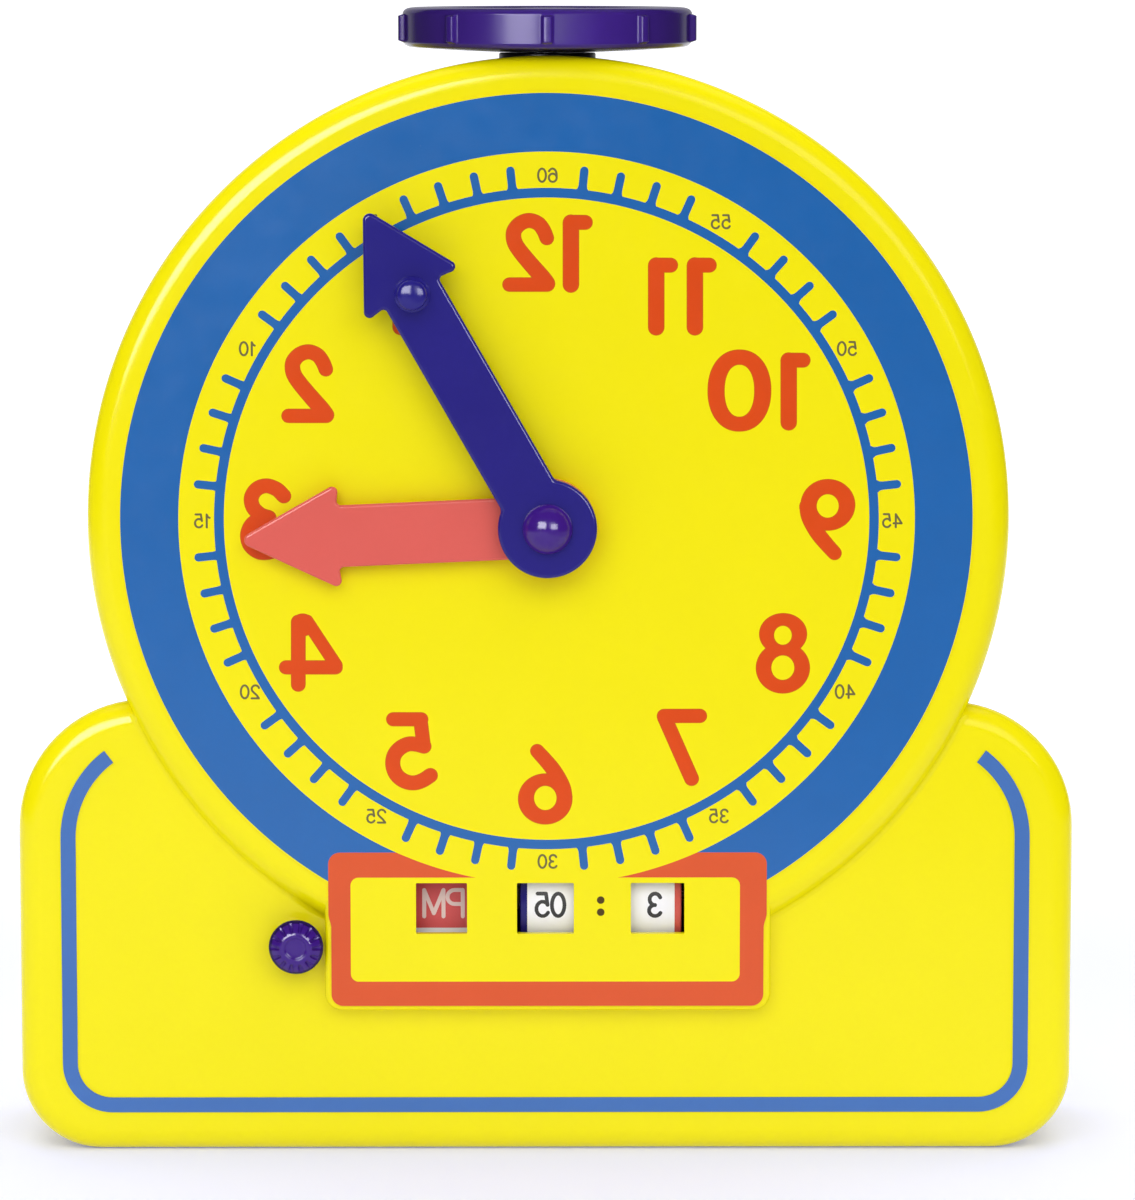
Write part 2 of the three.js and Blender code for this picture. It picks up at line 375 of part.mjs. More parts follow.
frame = frame
  .subtract(rodX(AXLE_R + 0.05, -40, 60, DRUM.y, DRUM.z))
  .subtract(rodX(SHAFT_R + 0.35, -40, 15, CROSS.y, CROSS.z, 20))
  .subtract(rodX(2.05, 5, 15, IDLER.y, IDLER.z));
add("drum_frame", frame, BLACK);

// ---------------------------------------------------------------- half-day flag
const flutes = 14;
const fluted = Array.from({ length: flutes * 4 }, (_, i) => {
  const r = [7.85, 7.85, 7.3, 7.3][i % 4], a = ((i + [0.1, -0.1, 0.1, -0.1][i % 4]) * 2 * Math.PI) / (flutes * 4);
  return [r * Math.cos(a), r * Math.sin(a)];
});
let knob = solid(toFront(spurBlank(fluted, 10.2), FLAG.x, BASE_Y - 0.7, FLAG.z))
  .intersect(solid(toFront(turned([[0, 0], [7.5, 0], [7.85, 0.5], [7.85, 6.4], [6.6, 8.8], [4.4, 9.9], [3.1, 9.9], [2.9, 9.4], [0, 9.4]], 20), FLAG.x, BASE_Y - 0.7, FLAG.z)))
  .subtract(rodY(3.05, BASE_Y - 7, BASE_Y, FLAG.x, FLAG.z));
add("half_day_knob", knob, PURPLE);
add("half_day_spindle", rodY(3, BASE_Y - 6.9, BASE_Y + 6.5, FLAG.x, FLAG.z), BLACK);
const FLAG_REST = 14.7, FLAG_HALF = 10.6;
const flagA = FLAG_REST - FLAG.turn - FLAG_HALF, flagB = FLAG_REST + FLAG_HALF + 0.6;
const flagOutline = [...arc(FLAG.x, FLAG.z, FLAG.r1, flagA, flagB, 10),
  ...arc(FLAG.x, FLAG.z, FLAG.r0, flagB, 12, 3), ...arc(FLAG.x, FLAG.z, 6.5, 55, 305, 9), ...arc(FLAG.x, FLAG.z, FLAG.r0, -4, flagA, 3)];
add("half_day_flag", plate(flagOutline, BASE_Y + 3, BASE_Y + 4).subtract(rodY(3.05, -35, -20, FLAG.x, FLAG.z)), WHITE);

// ---------------------------------------------------------------- fasteners
// Pan-head screw pushed in along -Y: under the head at yHead, shank to the front.
function screw(name, x, z, yHead, length, r, headR, headH) {
  add(name, solid(toFront(turned([[0, -headH], [headR * 0.7, -headH], [headR, -headH * 0.55], [headR, 0], [r, 0], [r, length - 1.2], [0, length]].map(([a, b]) => [a, b]), 8), x, yHead, z)), STEEL);
}
CASE_SCREWS.forEach(([x, z], i) => screw(`case_screw_${i + 1}`, x, z, -7.9, 17, 1.5, 3.2, 2.2));
FRAME_SCREWS.forEach(([x, z], i) => screw(`frame_screw_${i + 1}`, x, z, FRAME_Y + 2.5, 16, 1.5, 3, 1.6));
BRIDGE_SCREWS.forEach(([x, z], i) => screw(`bridge_screw_${i + 1}`, x, z, BRIDGE_Y + 2.6, 10, 1.3, 2.7, 1.6));

export default group;
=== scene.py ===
# Teaching clock: the looks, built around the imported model. Metres in Blender; the helpers take millimetres.
# Front view: x to the right, z up, the dial faces -y. The dial reads anticlockwise.
import math
import bpy
import bmesh
from mathutils import Matrix, Vector
from mathutils.geometry import delaunay_2d_cdt


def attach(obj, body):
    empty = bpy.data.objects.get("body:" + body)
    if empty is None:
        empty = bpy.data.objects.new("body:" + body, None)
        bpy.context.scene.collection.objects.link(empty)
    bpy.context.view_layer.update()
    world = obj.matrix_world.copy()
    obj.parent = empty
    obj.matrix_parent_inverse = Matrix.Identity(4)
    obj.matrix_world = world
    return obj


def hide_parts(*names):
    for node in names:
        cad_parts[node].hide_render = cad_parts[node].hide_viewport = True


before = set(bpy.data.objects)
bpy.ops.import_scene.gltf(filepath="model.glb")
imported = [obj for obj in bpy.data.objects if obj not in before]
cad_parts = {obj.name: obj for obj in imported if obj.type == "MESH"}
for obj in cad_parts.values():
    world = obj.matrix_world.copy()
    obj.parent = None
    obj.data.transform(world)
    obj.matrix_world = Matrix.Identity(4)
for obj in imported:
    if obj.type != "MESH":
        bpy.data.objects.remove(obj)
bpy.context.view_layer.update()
scene = bpy.context.scene
MM = 0.001

# ------------------------------------------------------------------ camera
CAM = Vector((0.0, -1606.6, 344.2))
AIM = Vector((5.7, -37.0, 161.7))
LENS, SENSOR = 165.8, 36.0
cam_data = bpy.data.cameras.new("camera")
cam_data.lens = LENS
cam_data.sensor_width = SENSOR
cam_data.sensor_fit = "AUTO"
cam_data.clip_start, cam_data.clip_end = 0.05, 60
cam = bpy.data.objects.new("camera", cam_data)
scene.collection.objects.link(cam)
cam.location = CAM * MM
cam.rotation_mode = "QUATERNION"
cam.rotation_quaternion = (AIM - CAM).to_track_quat("-Z", "Y")
scene.camera = cam

# A point of the 1135 x 1200 picture, carried to the plane y = plane_y, as (x, z) in mm.
FPX = LENS / SENSOR * 1200
_d = (AIM - CAM).normalized()
_r = _d.cross(Vector((0, 0, 1))).normalized()
_u = _r.cross(_d)


def at(px, py, plane_y):
    ray = _d + _r * ((px - 567.5) / FPX) - _u * ((py - 600.0) / FPX)
    q = CAM + ray * ((plane_y - CAM.y) / ray.y)
    return (q.x, q.z)


# ------------------------------------------------------------------ dimensions (the CAD's own)
WALL, SEAM_Y, SEAM_GAP, REAR_Y, DIAL_Y, BASE_Y = 2.5, -21.0, 0.3, 38.0, -37.0, -31.5
AXIS_Z, DISC_R, EDGE_R, BASE_EDGE_R = 184.5, 132.05, 6.5, 6.5
HUB_Z = 183.1  # the hands turn a little below the dial's centre
BASE_HALF, BASE_TOP, SHOULDER_R, FOOT_R = 152.3, 131.2, 36.2, 23.1
WIN_W, WIN_H, WIN_Z = 15.4, 14.8, 72.4
WINDOWS = [(-37.9, -23.2), (-8.85, 7.5), (23.95, 39.35)]  # flag, minutes, hours
SHAFT_Y = 2.0
DRUM_Y, DRUM_Z, DRUM_R = -9.2, 72.4, 24.0
STRIP_R = 24.35
FLAG_X, FLAG_Z = -72.4, 61.4
MIN_AT, HOUR_AT = 119.8, 182.5
PRINT_Y = DIAL_Y - 0.4


# ------------------------------------------------------------------ materials
def srgb(r, g, b):
    def lin(c):
        c = c / 255.0
        return c / 12.92 if c <= 0.04045 else ((c + 0.055) / 1.055) ** 2.4
    return (lin(r), lin(g), lin(b))


def tinted(c, k):
    return tuple(min(1.0, max(0.0, v * k)) for v in c) + (1.0,)


def surface(name, colour, rough=0.3, rough_var=0.04, metallic=0.0, vary=0.03, vary_scale=45.0,
            grain=0.03, grain_scale=1400.0, grain_depth=0.00006, wave=0.0, wave_scale=18.0,
            specks=0.0, speck_colour=(1, 1, 1), spec=0.5, coat=0.0, coat_rough=0.1, scuffs=0.0, aniso=0.0):
    """Moulded or printed surface: broad colour drift, fine mottling, roughness drift with faint scuffs, and a two-scale bump."""
    m = bpy.data.materials.new(name)
    m.use_nodes = True
    nt = m.node_tree
    nodes, link = nt.nodes, nt.links.new
    bsdf = next(n for n in nodes if n.type == "BSDF_PRINCIPLED")
    tc = nodes.new("ShaderNodeTexCoord")
    obj = tc.outputs["Object"]

    def noise(scale, detail=2.0, rough_=0.5, distortion=0.0):
        n = nodes.new("ShaderNodeTexNoise")
        n.inputs["Scale"].default_value = scale
        n.inputs["Detail"].default_value = detail
        n.inputs["Roughness"].default_value = rough_
        n.inputs["Distortion"].default_value = distortion
        link(obj, n.inputs["Vector"])
        return n.outputs["Fac"]

    def remap(value, a, b, c, d):
        n = nodes.new("ShaderNodeMapRange")
        n.inputs["From Min"].default_value, n.inputs["From Max"].default_value = a, b
        n.inputs["To Min"].default_value, n.inputs["To Max"].default_value = c, d
        link(value, n.inputs["Value"])
        return n.outputs["Result"]

    def mix(fac, a, b):
        n = nodes.new("ShaderNodeMix")
        n.data_type = "RGBA"
        link(fac, n.inputs[0])
        for i, v in ((6, a), (7, b)):
            if isinstance(v, tuple):
                n.inputs[i].default_value = v
            else:
                link(v, n.inputs[i])
        return n.outputs[2]

    broad = remap(noise(vary_scale, 3.0), 0.3, 0.7, 0.0, 1.0)
    col = mix(broad, tinted(colour, 1 - vary), tinted(colour, 1 + vary))
    fine = remap(noise(vary_scale * 14, 4.0, 0.6), 0.35, 0.65, 0.0, 0.35)
    col = mix(fine, col, tinted(colour, 1 - 1.5 * vary))
    if specks > 0:
        v = nodes.new("ShaderNodeTexVoronoi")
        v.inputs["Scale"].default_value = 70.0
        v.inputs["Randomness"].default_value = 1.0
        link(obj, v.inputs["Vector"])
        dot = remap(v.outputs["Distance"], 0.02, 0.05, 1.0, 0.0)
        pick = remap(noise(33.0, 1.0), 0.6, 0.66, 0.0, specks)
        mul = nodes.new("ShaderNodeMath")
        mul.operation = "MULTIPLY"
        link(dot, mul.inputs[0])
        link(pick, mul.inputs[1])
        col = mix(mul.outputs[0], col, tuple(speck_colour) + (1.0,))
    link(col, bsdf.inputs["Base Color"])
    r = remap(noise(vary_scale * 3, 3.0), 0.3, 0.7, max(0.02, rough - rough_var), rough + rough_var)
    if scuffs > 0:
        mp = nodes.new("ShaderNodeMapping")
        mp.inputs["Scale"].default_value = (1.0, 1.0, 0.12)
        mp.inputs["Rotation"].default_value = (0.3, 0.9, 0.5)
        link(obj, mp.inputs["Vector"])
        sn = nodes.new("ShaderNodeTexNoise")
        sn.inputs["Scale"].default_value = 900.0
        sn.inputs["Detail"].default_value = 1.0
        link(mp.outputs["Vector"], sn.inputs["Vector"])
        s = remap(sn.outputs["Fac"], 0.68, 0.74, 0.0, scuffs)
        add = nodes.new("ShaderNodeMath")
        add.operation = "ADD"
        link(r, add.inputs[0])
        link(s, add.inputs[1])
        r = add.outputs[0]
    link(r, bsdf.inputs["Roughness"])
    bump = nodes.new("ShaderNodeBump")
    bump.inputs["Strength"].default_value = grain
    bump.inputs["Distance"].default_value = grain_depth
    link(noise(grain_scale, 3.0, 0.55), bump.inputs["Height"])
    if wave > 0:
        b2 = nodes.new("ShaderNodeBump")
        b2.inputs["Strength"].default_value = wave
        b2.inputs["Distance"].default_value = 0.0006
        link(noise(wave_scale, 1.0, 0.3), b2.inputs["Height"])
        link(b2.outputs["Normal"], bump.inputs["Normal"])
    link(bump.outputs["Normal"], bsdf.inputs["Normal"])
    bsdf.inputs["Metallic"].default_value = metallic
    bsdf.inputs["Specular IOR Level"].default_value = spec
    bsdf.inputs["Coat Weight"].default_value = coat
    bsdf.inputs["Coat Roughness"].default_value = coat_rough
    bsdf.inputs["Anisotropic"].default_value = aniso
    m.diffuse_color = tuple(colour) + (1.0,)
    return m


YELLOW = surface("yellow_moulding", (0.923, 0.81, 0.0), 0.17, 0.015, vary=0.008, grain=0.05, wave=0.02, scuffs=0.02, spec=0.25)
SHEET_YELLOW = surface("dial_sheet_yellow", (0.923, 0.81, 0.0), 0.18, 0.015, vary=0.008, grain=0.06, grain_scale=2600, scuffs=0.01, spec=0.25)
BLUE = surface("blue_print", srgb(18, 98, 172), 0.18, 0.02, vary=0.03, grain=0.06, grain_scale=2600, specks=0.5,
               speck_colour=srgb(150, 185, 215), scuffs=0.03, spec=0.5)
ORANGE = surface("orange_print", srgb(221, 88, 44), 0.19, 0.02, vary=0.02, vary_scale=60, grain=0.06, grain_scale=2600, spec=0.25)
NUMBER = surface("numeral_print", srgb(222, 74, 14), 0.19, 0.02, vary=0.03, vary_scale=70, grain=0.06, grain_scale=2600, spec=0.25)
NUMBER_EDGE = surface("numeral_overprint", srgb(206, 92, 10), 0.19, 0.02, vary=0.03, grain=0.06, grain_scale=2600, spec=0.25)
COLON = surface("colon_print", srgb(80, 60, 12), 0.2, 0.02, vary=0.05, grain=0.06, grain_scale=2600, spec=0.25)
GREY = surface("minute_print", srgb(112, 104, 62), 0.2, 0.02, vary=0.05, grain=0.06, grain_scale=2600, spec=0.25)
STRIPE = surface("stripe_print", srgb(70, 114, 182), 0.19, 0.02, vary=0.03, vary_scale=30, grain=0.06, grain_scale=2600, specks=0.4,
                 speck_colour=srgb(150, 180, 205), spec=0.25)
PURPLE = surface("purple_moulding", srgb(37, 30, 126), 0.16, 0.015, vary=0.05, grain=0.05, wave=0.03, specks=0.3,
                 speck_colour=srgb(130, 110, 190), scuffs=0.03, spec=0.28)
PURPLE_CAP = surface("purple_small_parts", srgb(62, 25, 130), 0.15, 0.015, vary=0.05, grain=0.05, wave=0.02, scuffs=0.02, spec=0.35)
# painted shade: a darker copy of the purple, standing in for the shade on the top wheel's sides and the knob's side
# wall
PURPLE_PAINTED_SHADE = surface("purple_wheel_painted_shade", srgb(34, 16, 78), 0.2, 0.015, vary=0.06, grain=0.06, wave=0.05, scuffs=0.02, spec=0.22)
CORAL = surface("coral_moulding", srgb(222, 96, 87), 0.2, 0.02, vary=0.02, grain=0.05, wave=0.03, scuffs=0.02, spec=0.25)
BLACK = surface("black_moulding", srgb(17, 15, 18), 0.34, 0.05, vary=0.1, grain=0.08, grain_scale=1800, spec=0.4)
DRUM_WHITE = surface("drum_strip_white", srgb(246, 246, 254), 0.5, 0.05, vary=0.012, grain=0.08, grain_scale=2600, spec=0.3)
INK = surface("drum_ink", srgb(48, 47, 50), 0.5, 0.05, vary=0.1, grain=0.05, spec=0.3)
FLAG_RED = surface("flag_red_print", srgb(226, 76, 80), 0.45, 0.05, vary=0.05, grain=0.06, grain_scale=2600, spec=0.35)
FLAG_BLUE = surface("flag_blue_print", srgb(48, 104, 170), 0.45, 0.05, vary=0.04, grain=0.06, grain_scale=2600, spec=0.35)
FLAG_PINK = surface("flag_letters", srgb(249, 220, 220), 0.45, 0.05, vary=0.02, grain=0.05, spec=0.35)
NATURAL = surface("natural_gear_plastic", srgb(226, 221, 204), 0.42, 0.05, vary=0.03, grain=0.1, grain_scale=900, spec=0.4)
STEEL = surface("plated_steel", srgb(176, 178, 182), 0.3, 0.08, metallic=1.0, vary=0.05, vary_scale=200, grain=0.1, grain_scale=2500, aniso=0.2)
BRASS = surface("brass_arbor", srgb(201, 162, 84), 0.3, 0.07, metallic=1.0, vary=0.06, vary_scale=200, grain=0.1, grain_scale=2500, aniso=0.2)


# ------------------------------------------------------------------ mesh helpers
def mesh_object(name, verts, faces, materials, slots=None, recalc=True):
    me = bpy.data.meshes.new(name)
    me.from_pydata([(x * MM, y * MM, z * MM) for x, y, z in verts], [], faces)
    for m in materials:
        me.materials.append(m)
    if slots:
        me.polygons.foreach_set("material_index", slots)
    if recalc:
        bm = bmesh.new()
        bm.from_mesh(me)
        bmesh.ops.remove_doubles(bm, verts=bm.verts, dist=1e-7)
        bmesh.ops.recalc_face_normals(bm, faces=bm.faces)
        bm.to_mesh(me)
        bm.free()
    me.update()
    o = bpy.data.objects.new(name, me)
    scene.collection.objects.link(o)
    return o


def applied(o):
    """The object with its modifiers made part of its mesh."""
    dg = bpy.context.evaluated_depsgraph_get()
    dg.update()
    me = bpy.data.meshes.new_from_object(o.evaluated_get(dg))
    old = o.data
    o.modifiers.clear()
    o.data = me
    me.name = old.name
    if old.users == 0:
        bpy.data.meshes.remove(old)
    return o


def boolean(o, others, op):
    for other in others:
        m = o.modifiers.new("b", "BOOLEAN")
        m.operation, m.solver, m.object = op, "MANIFOLD", other
    applied(o)
    for other in others:
        bpy.data.objects.remove(other)
    return o


def tidy(o):
    bm = bmesh.new()
    bm.from_mesh(o.data)
    bmesh.ops.remove_doubles(bm, verts=bm.verts, dist=2e-6)
    bmesh.ops.dissolve_degenerate(bm, edges=bm.edges, dist=1e-6)
    bm.to_mesh(o.data)
    bm.free()
    return o


def shade(o, angle=30.0, weighted=True):
    o.data.shade_smooth()
    o.data.set_sharp_from_angle(angle=math.radians(angle))
    if weighted:
        m = o.modifiers.new("weighted", "WEIGHTED_NORMAL")
        m.mode, m.weight, m.keep_sharp = "FACE_AREA", 60, True
        applied(o)
    return o


def arc(cx, cy, r, a0, a1, n):
    return [(cx + r * math.cos(math.radians(a0 + (a1 - a0) * i / n)), cy + r * math.sin(math.radians(a0 + (a1 - a0) * i / n)))
            for i in range(n + 1)]


def ellipse(cx, cy, rx, ry, n=64, power=2.0):
    out = []
    for i in range(n):
        c, s = math.cos(2 * math.pi * i / n), math.sin(2 * math.pi * i / n)
        out.append((cx + rx * math.copysign(abs(c) ** (2 / power), c), cy + ry * math.copysign(abs(s) ** (2 / power), s)))
    return out


def round_rect(x0, z0, x1, z1, r, n=12):
    a, b, c, d = r if isinstance(r, (list, tuple)) else (r, r, r, r)
    return (arc(x1 - a, z0 + a, a, -90, 0, n) + arc(x1 - b, z1 - b, b, 0, 90, n)
            + arc(x0 + c, z1 - c, c, 90, 180, n) + arc(x0 + d, z0 + d, d, 180, 270, n))


def plate(name, outline, y0, y1, rf=0.0, rb=0.0, seg=10, materials=(), slots=None):
    """A front-view outline made solid from y0 (front) to y1 (back). outline(d) is the outline inset by d; rf and rb round its two edges."""
    rings = []
    steps = seg if rf > 0 else 0
    for k in range(steps + 1):
        t = math.pi / 2 * (k / steps if steps else 1.0)
        rings.append((rf * (1 - math.sin(t)), y0 + rf * (1 - math.cos(t))))
    steps = seg if rb > 0 else 0
    for k in range(steps, -1, -1):
        t = math.pi / 2 * (k / steps if steps else 1.0)
        rings.append((rb * (1 - math.sin(t)), y1 - rb * (1 - math.cos(t))))
    verts, faces = [], []
    n = len(outline(0.0))
    for d, y in rings:
        verts += [(x, y, z) for x, z in outline(d)]
    for k in range(len(rings) - 1):
        for i in range(n):
            j = (i + 1) % n
            faces.append((k * n + i, (k + 1) * n + i, (k + 1) * n + j, k * n + j))
    faces.append(tuple(range(n)))
    last = (len(rings) - 1) * n
    faces.append(tuple(last + i for i in reversed(range(n))))
    return mesh_object(name, verts, faces, materials)


def lathe(name, profile, n, place, materials, radius=None, angles=None, closed=True, slots=None):
    """Turns [radius, height] pairs about an axis. place(x, y, h) puts the local point in the model."""
    angles = angles or [2 * math.pi * i / n for i in range(n)]
    n = len(angles)
    verts, faces, ids = [], [], []
    for r, h in profile:
        if r < 1e-6:
            ids.append([len(verts)] * n)
            verts.append(place(0, 0, h))
        else:
            row = []
            for a in angles:
                rr = radius(r, h, a) if radius else r
                row.append(len(verts))
                verts.append(place(rr * math.cos(a), rr * math.sin(a), h))
            ids.append(row)
    rows = len(ids)
    kinds = []
    for k in range(rows if closed else rows - 1):
        a, b = ids[k], ids[(k + 1) % rows]
        for i in range(n):
            j = (i + 1) % n
            f = []
            for v in (a[i], a[j], b[j], b[i]):
                if v not in f:
                    f.append(v)
            if len(f) > 2:
                faces.append(tuple(f))
                kinds.append(slots[k] if slots else 0)
    return mesh_object(name, verts, faces, materials, kinds if slots else None)


def corner(points, radius, seg=8):
    """Rounds the corners of a closed outline; radius is one value or one for each point."""
    out, n = [], len(points)
    for i, p in enumerate(points):
        r = radius[i] if isinstance(radius, (list, tuple)) else radius
        a, b, c = Vector(points[i - 1]), Vector(p), Vector(points[(i + 1) % n])
        u, v = (a - b).normalized(), (c - b).normalized()
        half = u.angle(v) / 2
        if r <= 0 or half > math.radians(88):
            out.append(tuple(b))
            continue
        t = r / math.tan(half)
        p0, p1 = b + u * t, b + v * t
        centre = b + (u + v).normalized() * (r / math.sin(half))
        a0 = math.atan2(p0.y - centre.y, p0.x - centre.x)
        a1 = math.atan2(p1.y - centre.y, p1.x - centre.x)
        da = (a1 - a0 + math.pi) % (2 * math.pi) - math.pi
        out += [(centre.x + r * math.cos(a0 + da * k / seg), centre.y + r * math.sin(a0 + da * k / seg)) for k in range(seg + 1)]
    return out


def bevelled(name, outline, y0, y1, width, seg, materials, angle=40):
    """A plate with every rim edge rounded by the Bevel modifier."""
    o = plate(name, lambda d: outline, y0, y1, materials=materials)
    m = o.modifiers.new("bevel", "BEVEL")
    m.width, m.segments, m.limit_method, m.angle_limit = width * MM, seg, "ANGLE", math.radians(angle)
    m.use_clamp_overlap = False
    m.miter_outer = "MITER_SHARP"
    return applied(o)


# ------------------------------------------------------------------ drawing
def area(p):
    return 0.5 * sum(p[i - 1][0] * p[i][1] - p[i][0] * p[i - 1][1] for i in range(len(p)))


def ccw(p):
    p = list(p)
    out = [q for i, q in enumerate(p) if (Vector(q) - Vector(p[i - 1])).length > 1e-5]
    return out if area(out) > 0 else out[::-1]


def smooth(pts, n=7):
    """Catmull-Rom curve through the points."""
    out = []
    for i in range(len(pts) - 1):
        p0 = Vector(pts[i - 1]) if i else 2 * Vector(pts[0]) - Vector(pts[1])
        p1, p2 = Vector(pts[i]), Vector(pts[i + 1])
        p3 = Vector(pts[i + 2]) if i + 2 < len(pts) else 2 * p2 - p1
        for k in range(n):
            t = k / n
            out.append(tuple(0.5 * (2 * p1 + (p2 - p0) * t + (2 * p0 - 5 * p1 + 4 * p2 - p3) * t * t
                                    + (3 * p1 - p0 - 3 * p2 + p3) * t ** 3)))
    out.append(tuple(pts[-1]))
    return out


def stroke(pts, width, caps=10):
    """Outline of a pen stroke with round ends. width is one number, or a (first, last) pair."""
    w0, w1 = width if isinstance(width, tuple) else (width, width)
    pts = [Vector(p) for p in pts]
    n = len(pts)
    left, right = [], []
    for i, p in enumerate(pts):
        d = (pts[min(i + 1, n - 1)] - pts[max(i - 1, 0)]).normalized()
        w = (w0 + (w1 - w0) * i / max(1, n - 1)) / 2
        nrm = Vector((-d.y, d.x)) * w
        left.append(tuple(p + nrm))
        right.append(tuple(p - nrm))
    d0 = math.degrees(math.atan2(*(pts[0] - pts[1]).yx))
    d1 = math.degrees(math.atan2(*(pts[-1] - pts[-2]).yx))
    end = arc(pts[-1].x, pts[-1].y, w1 / 2, d1 + 90, d1 - 90, caps)
    start = arc(pts[0].x, pts[0].y, w0 / 2, d0 + 90, d0 - 90, caps)
    return left[:-1] + end + right[-2:0:-1] + start


def grown(shape, by):
    """A drawn shape, wider all round by by. Shapes: ("pen", points, width), ("oval", cx, cy, rx, ry) and ("hole", ...)."""
    kind = shape[0]
    if kind == "pen":
        w = shape[2]
        w = (w[0] + 2 * by, w[1] + 2 * by) if isinstance(w, tuple) else w + 2 * by
        return ccw(stroke(shape[1], w))
    s = by if kind == "oval" else -by
    return ccw(ellipse(shape[1], shape[2], shape[3] + s, shape[4] + s, 72, shape[5] if len(shape) > 5 else 2.0))


def sheet_mesh(name, layers, materials, y0, y1, lines=(), wrap=None, only=None):
    """A thin printed sheet. layers are (slot, outline), later over earlier; slot None cuts a hole.
    only, if given, is the number of the layer that bounds the sheet. wrap bends the flat sheet: (u, v, depth) to a point."""
    pts, faces, kinds = [], [], []
    for slot, outline in layers:
        base = len(pts)
        outline = ccw(outline)
        pts += [Vector(p) for p in outline]
        faces.append(list(range(base, base + len(outline))))
        kinds.append(slot)
    edges = []
    for a, b in lines:
        edges.append((len(pts), len(pts) + 1))
        pts += [Vector(a), Vector(b)]
    v, _, f, _, _, of = delaunay_2d_cdt(pts, edges, faces, 1, 1e-5)
    keep, slots = [], []
    for tri, ids in zip(f, of):
        if not ids or (only is not None and only not in ids):
            continue
        slot = kinds[max(ids)]
        if slot is None:
            continue
        a, b, c = (v[i] for i in tri)
        if (b - a).cross(c - a) < 0:
            tri = tri[::-1]
        keep.append(tuple(tri))
        slots.append(slot)
    used = sorted({i for t in keep for i in t})
    index = {u: k for k, u in enumerate(used)}
    n = len(used)
    put = wrap or (lambda x, z, y: (x, y, z))
    verts = [put(v[u].x, v[u].y, y0) for u in used] + [put(v[u].x, v[u].y, y1) for u in used]
    out, kinds2, owner = [], [], {}
    for t, s in zip(keep, slots):
        t = tuple(index[i] for i in t)
        out.append(t)
        kinds2.append(s)
        for i in range(3):
            owner[(t[i], t[(i + 1) % 3])] = s
    for t, s in list(zip(out, kinds2)):
        out.append(tuple(i + n for i in reversed(t)))
        kinds2.append(s)
    for (a, b), s in owner.items():
        if (b, a) not in owner:
            out.append((b, a, a + n, b + n))
            kinds2.append(s)
    me_obj = mesh_object(name, verts, out, materials, kinds2, recalc=False)
    return me_obj


# ------------------------------------------------------------------ casing
def disc(r, n=256):
    return lambda d: arc(0.25, AXIS_Z, r - d, 0, 360, n)[:-1]


def base(inset, n=20):
    def f(d):
        d = d + inset
        return round_rect(-BASE_HALF + d, d, BASE_HALF - d, BASE_TOP - d,
                          [FOOT_R - d, SHOULDER_R - d, SHOULDER_R + 1 - d, FOOT_R - d], n)
    return f


def plaque(inset, n=10):
    def f(d):
        d = d + inset
        return round_rect(-64.2 + d, 42.4 + d, 64.2 - d, 90.0 - d, max(0.6, 5.0 - d), n)
    return f


def drafted(o, kind):
    """Narrows a casing part towards the back, as it comes out of its mould."""
    for v in o.data.vertices:
        x, y, z = v.co / MM
        if kind == "base":
            v.co.x, v.co.z = (x - 0.5) * MM, z * (1 - 0.00112 * max(0.0, y + 25)) * (1 - 0.000025 * x) * MM
        else:
            k = 1 - 0.0002 * max(0.0, y + 30.5)
            v.co.x, v.co.z = x * k * MM, (AXIS_Z + (z - AXIS_Z) * k) * MM
    o.data.update()
    return o


def rod_y(r, y0, y1, x, z, n=32):
    return plate("cut", lambda d: arc(x, z, r, 0, 360, n)[:-1], y0, y1)


def block(x0, x1, y0, y1, z0, z1, r=0.0):
    outline = round_rect(x0, z0, x1, z1, r, 5) if r else [(x0, z0), (x1, z0), (x1, z1), (x0, z1)]
    return plate("cut", lambda d: outline, y0, y1)


CASE_SCREWS = [(-95, 250), (95, 250), (-128, 108), (128, 108), (-136, 17), (136, 17)]
FRAME_SCREWS = [(-27, 34), (47, 34), (-27, 124), (47, 124)]
BRIDGE_SCREWS = [(-28, 156), (28, 156), (-28, 214), (28, 214)]
LIP = 0.45  # small chamfer where the casings meet

front = drafted(plate("front_shell", disc(DISC_R), DIAL_Y, SEAM_Y, EDGE_R, LIP, 14, [YELLOW]), "disc")
fillet_r = 1.9
ring_c = math.hypot(EDGE_R + fillet_r, 0)
cy = BASE_Y - fillet_r
dy = cy - (DIAL_Y + EDGE_R)
cr = (DISC_R - EDGE_R) + math.sqrt(ring_c ** 2 - dy ** 2)
a0 = math.degrees(math.atan2((DIAL_Y + EDGE_R) - cy, (DISC_R - EDGE_R) - cr))
cove = [(cr + fillet_r * math.cos(math.radians(a)), cy + fillet_r * math.sin(math.radians(a)))
        for a in [a0 + (90 - a0) * k / 8 for k in range(9)]]
cove += [(cr, BASE_Y + 2.0), (cove[0][0] - 2.0, BASE_Y + 2.0), (cove[0][0] - 2.0, cove[0][1] + 0.4)]
ring = lathe("cove", [(r, y) for r, y in cove], 256, lambda a, b, h: (a + 0.25, h, AXIS_Z + b), [YELLOW])
raised = drafted(plate("raised", base(0.0), cove[0][1], SEAM_Y, BASE_EDGE_R, 0, 14, [YELLOW]), "base")
boolean(ring, [raised], "INTERSECT")
boolean(front, [drafted(plate("base_part", base(0.0), BASE_Y, SEAM_Y, BASE_EDGE_R, LIP, 14, [YELLOW]), "base"),
                plate("plaque_part", plaque(0.0), DIAL_Y, DIAL_Y + 12, 1.5, 0, 6, [YELLOW]), ring], "UNION")
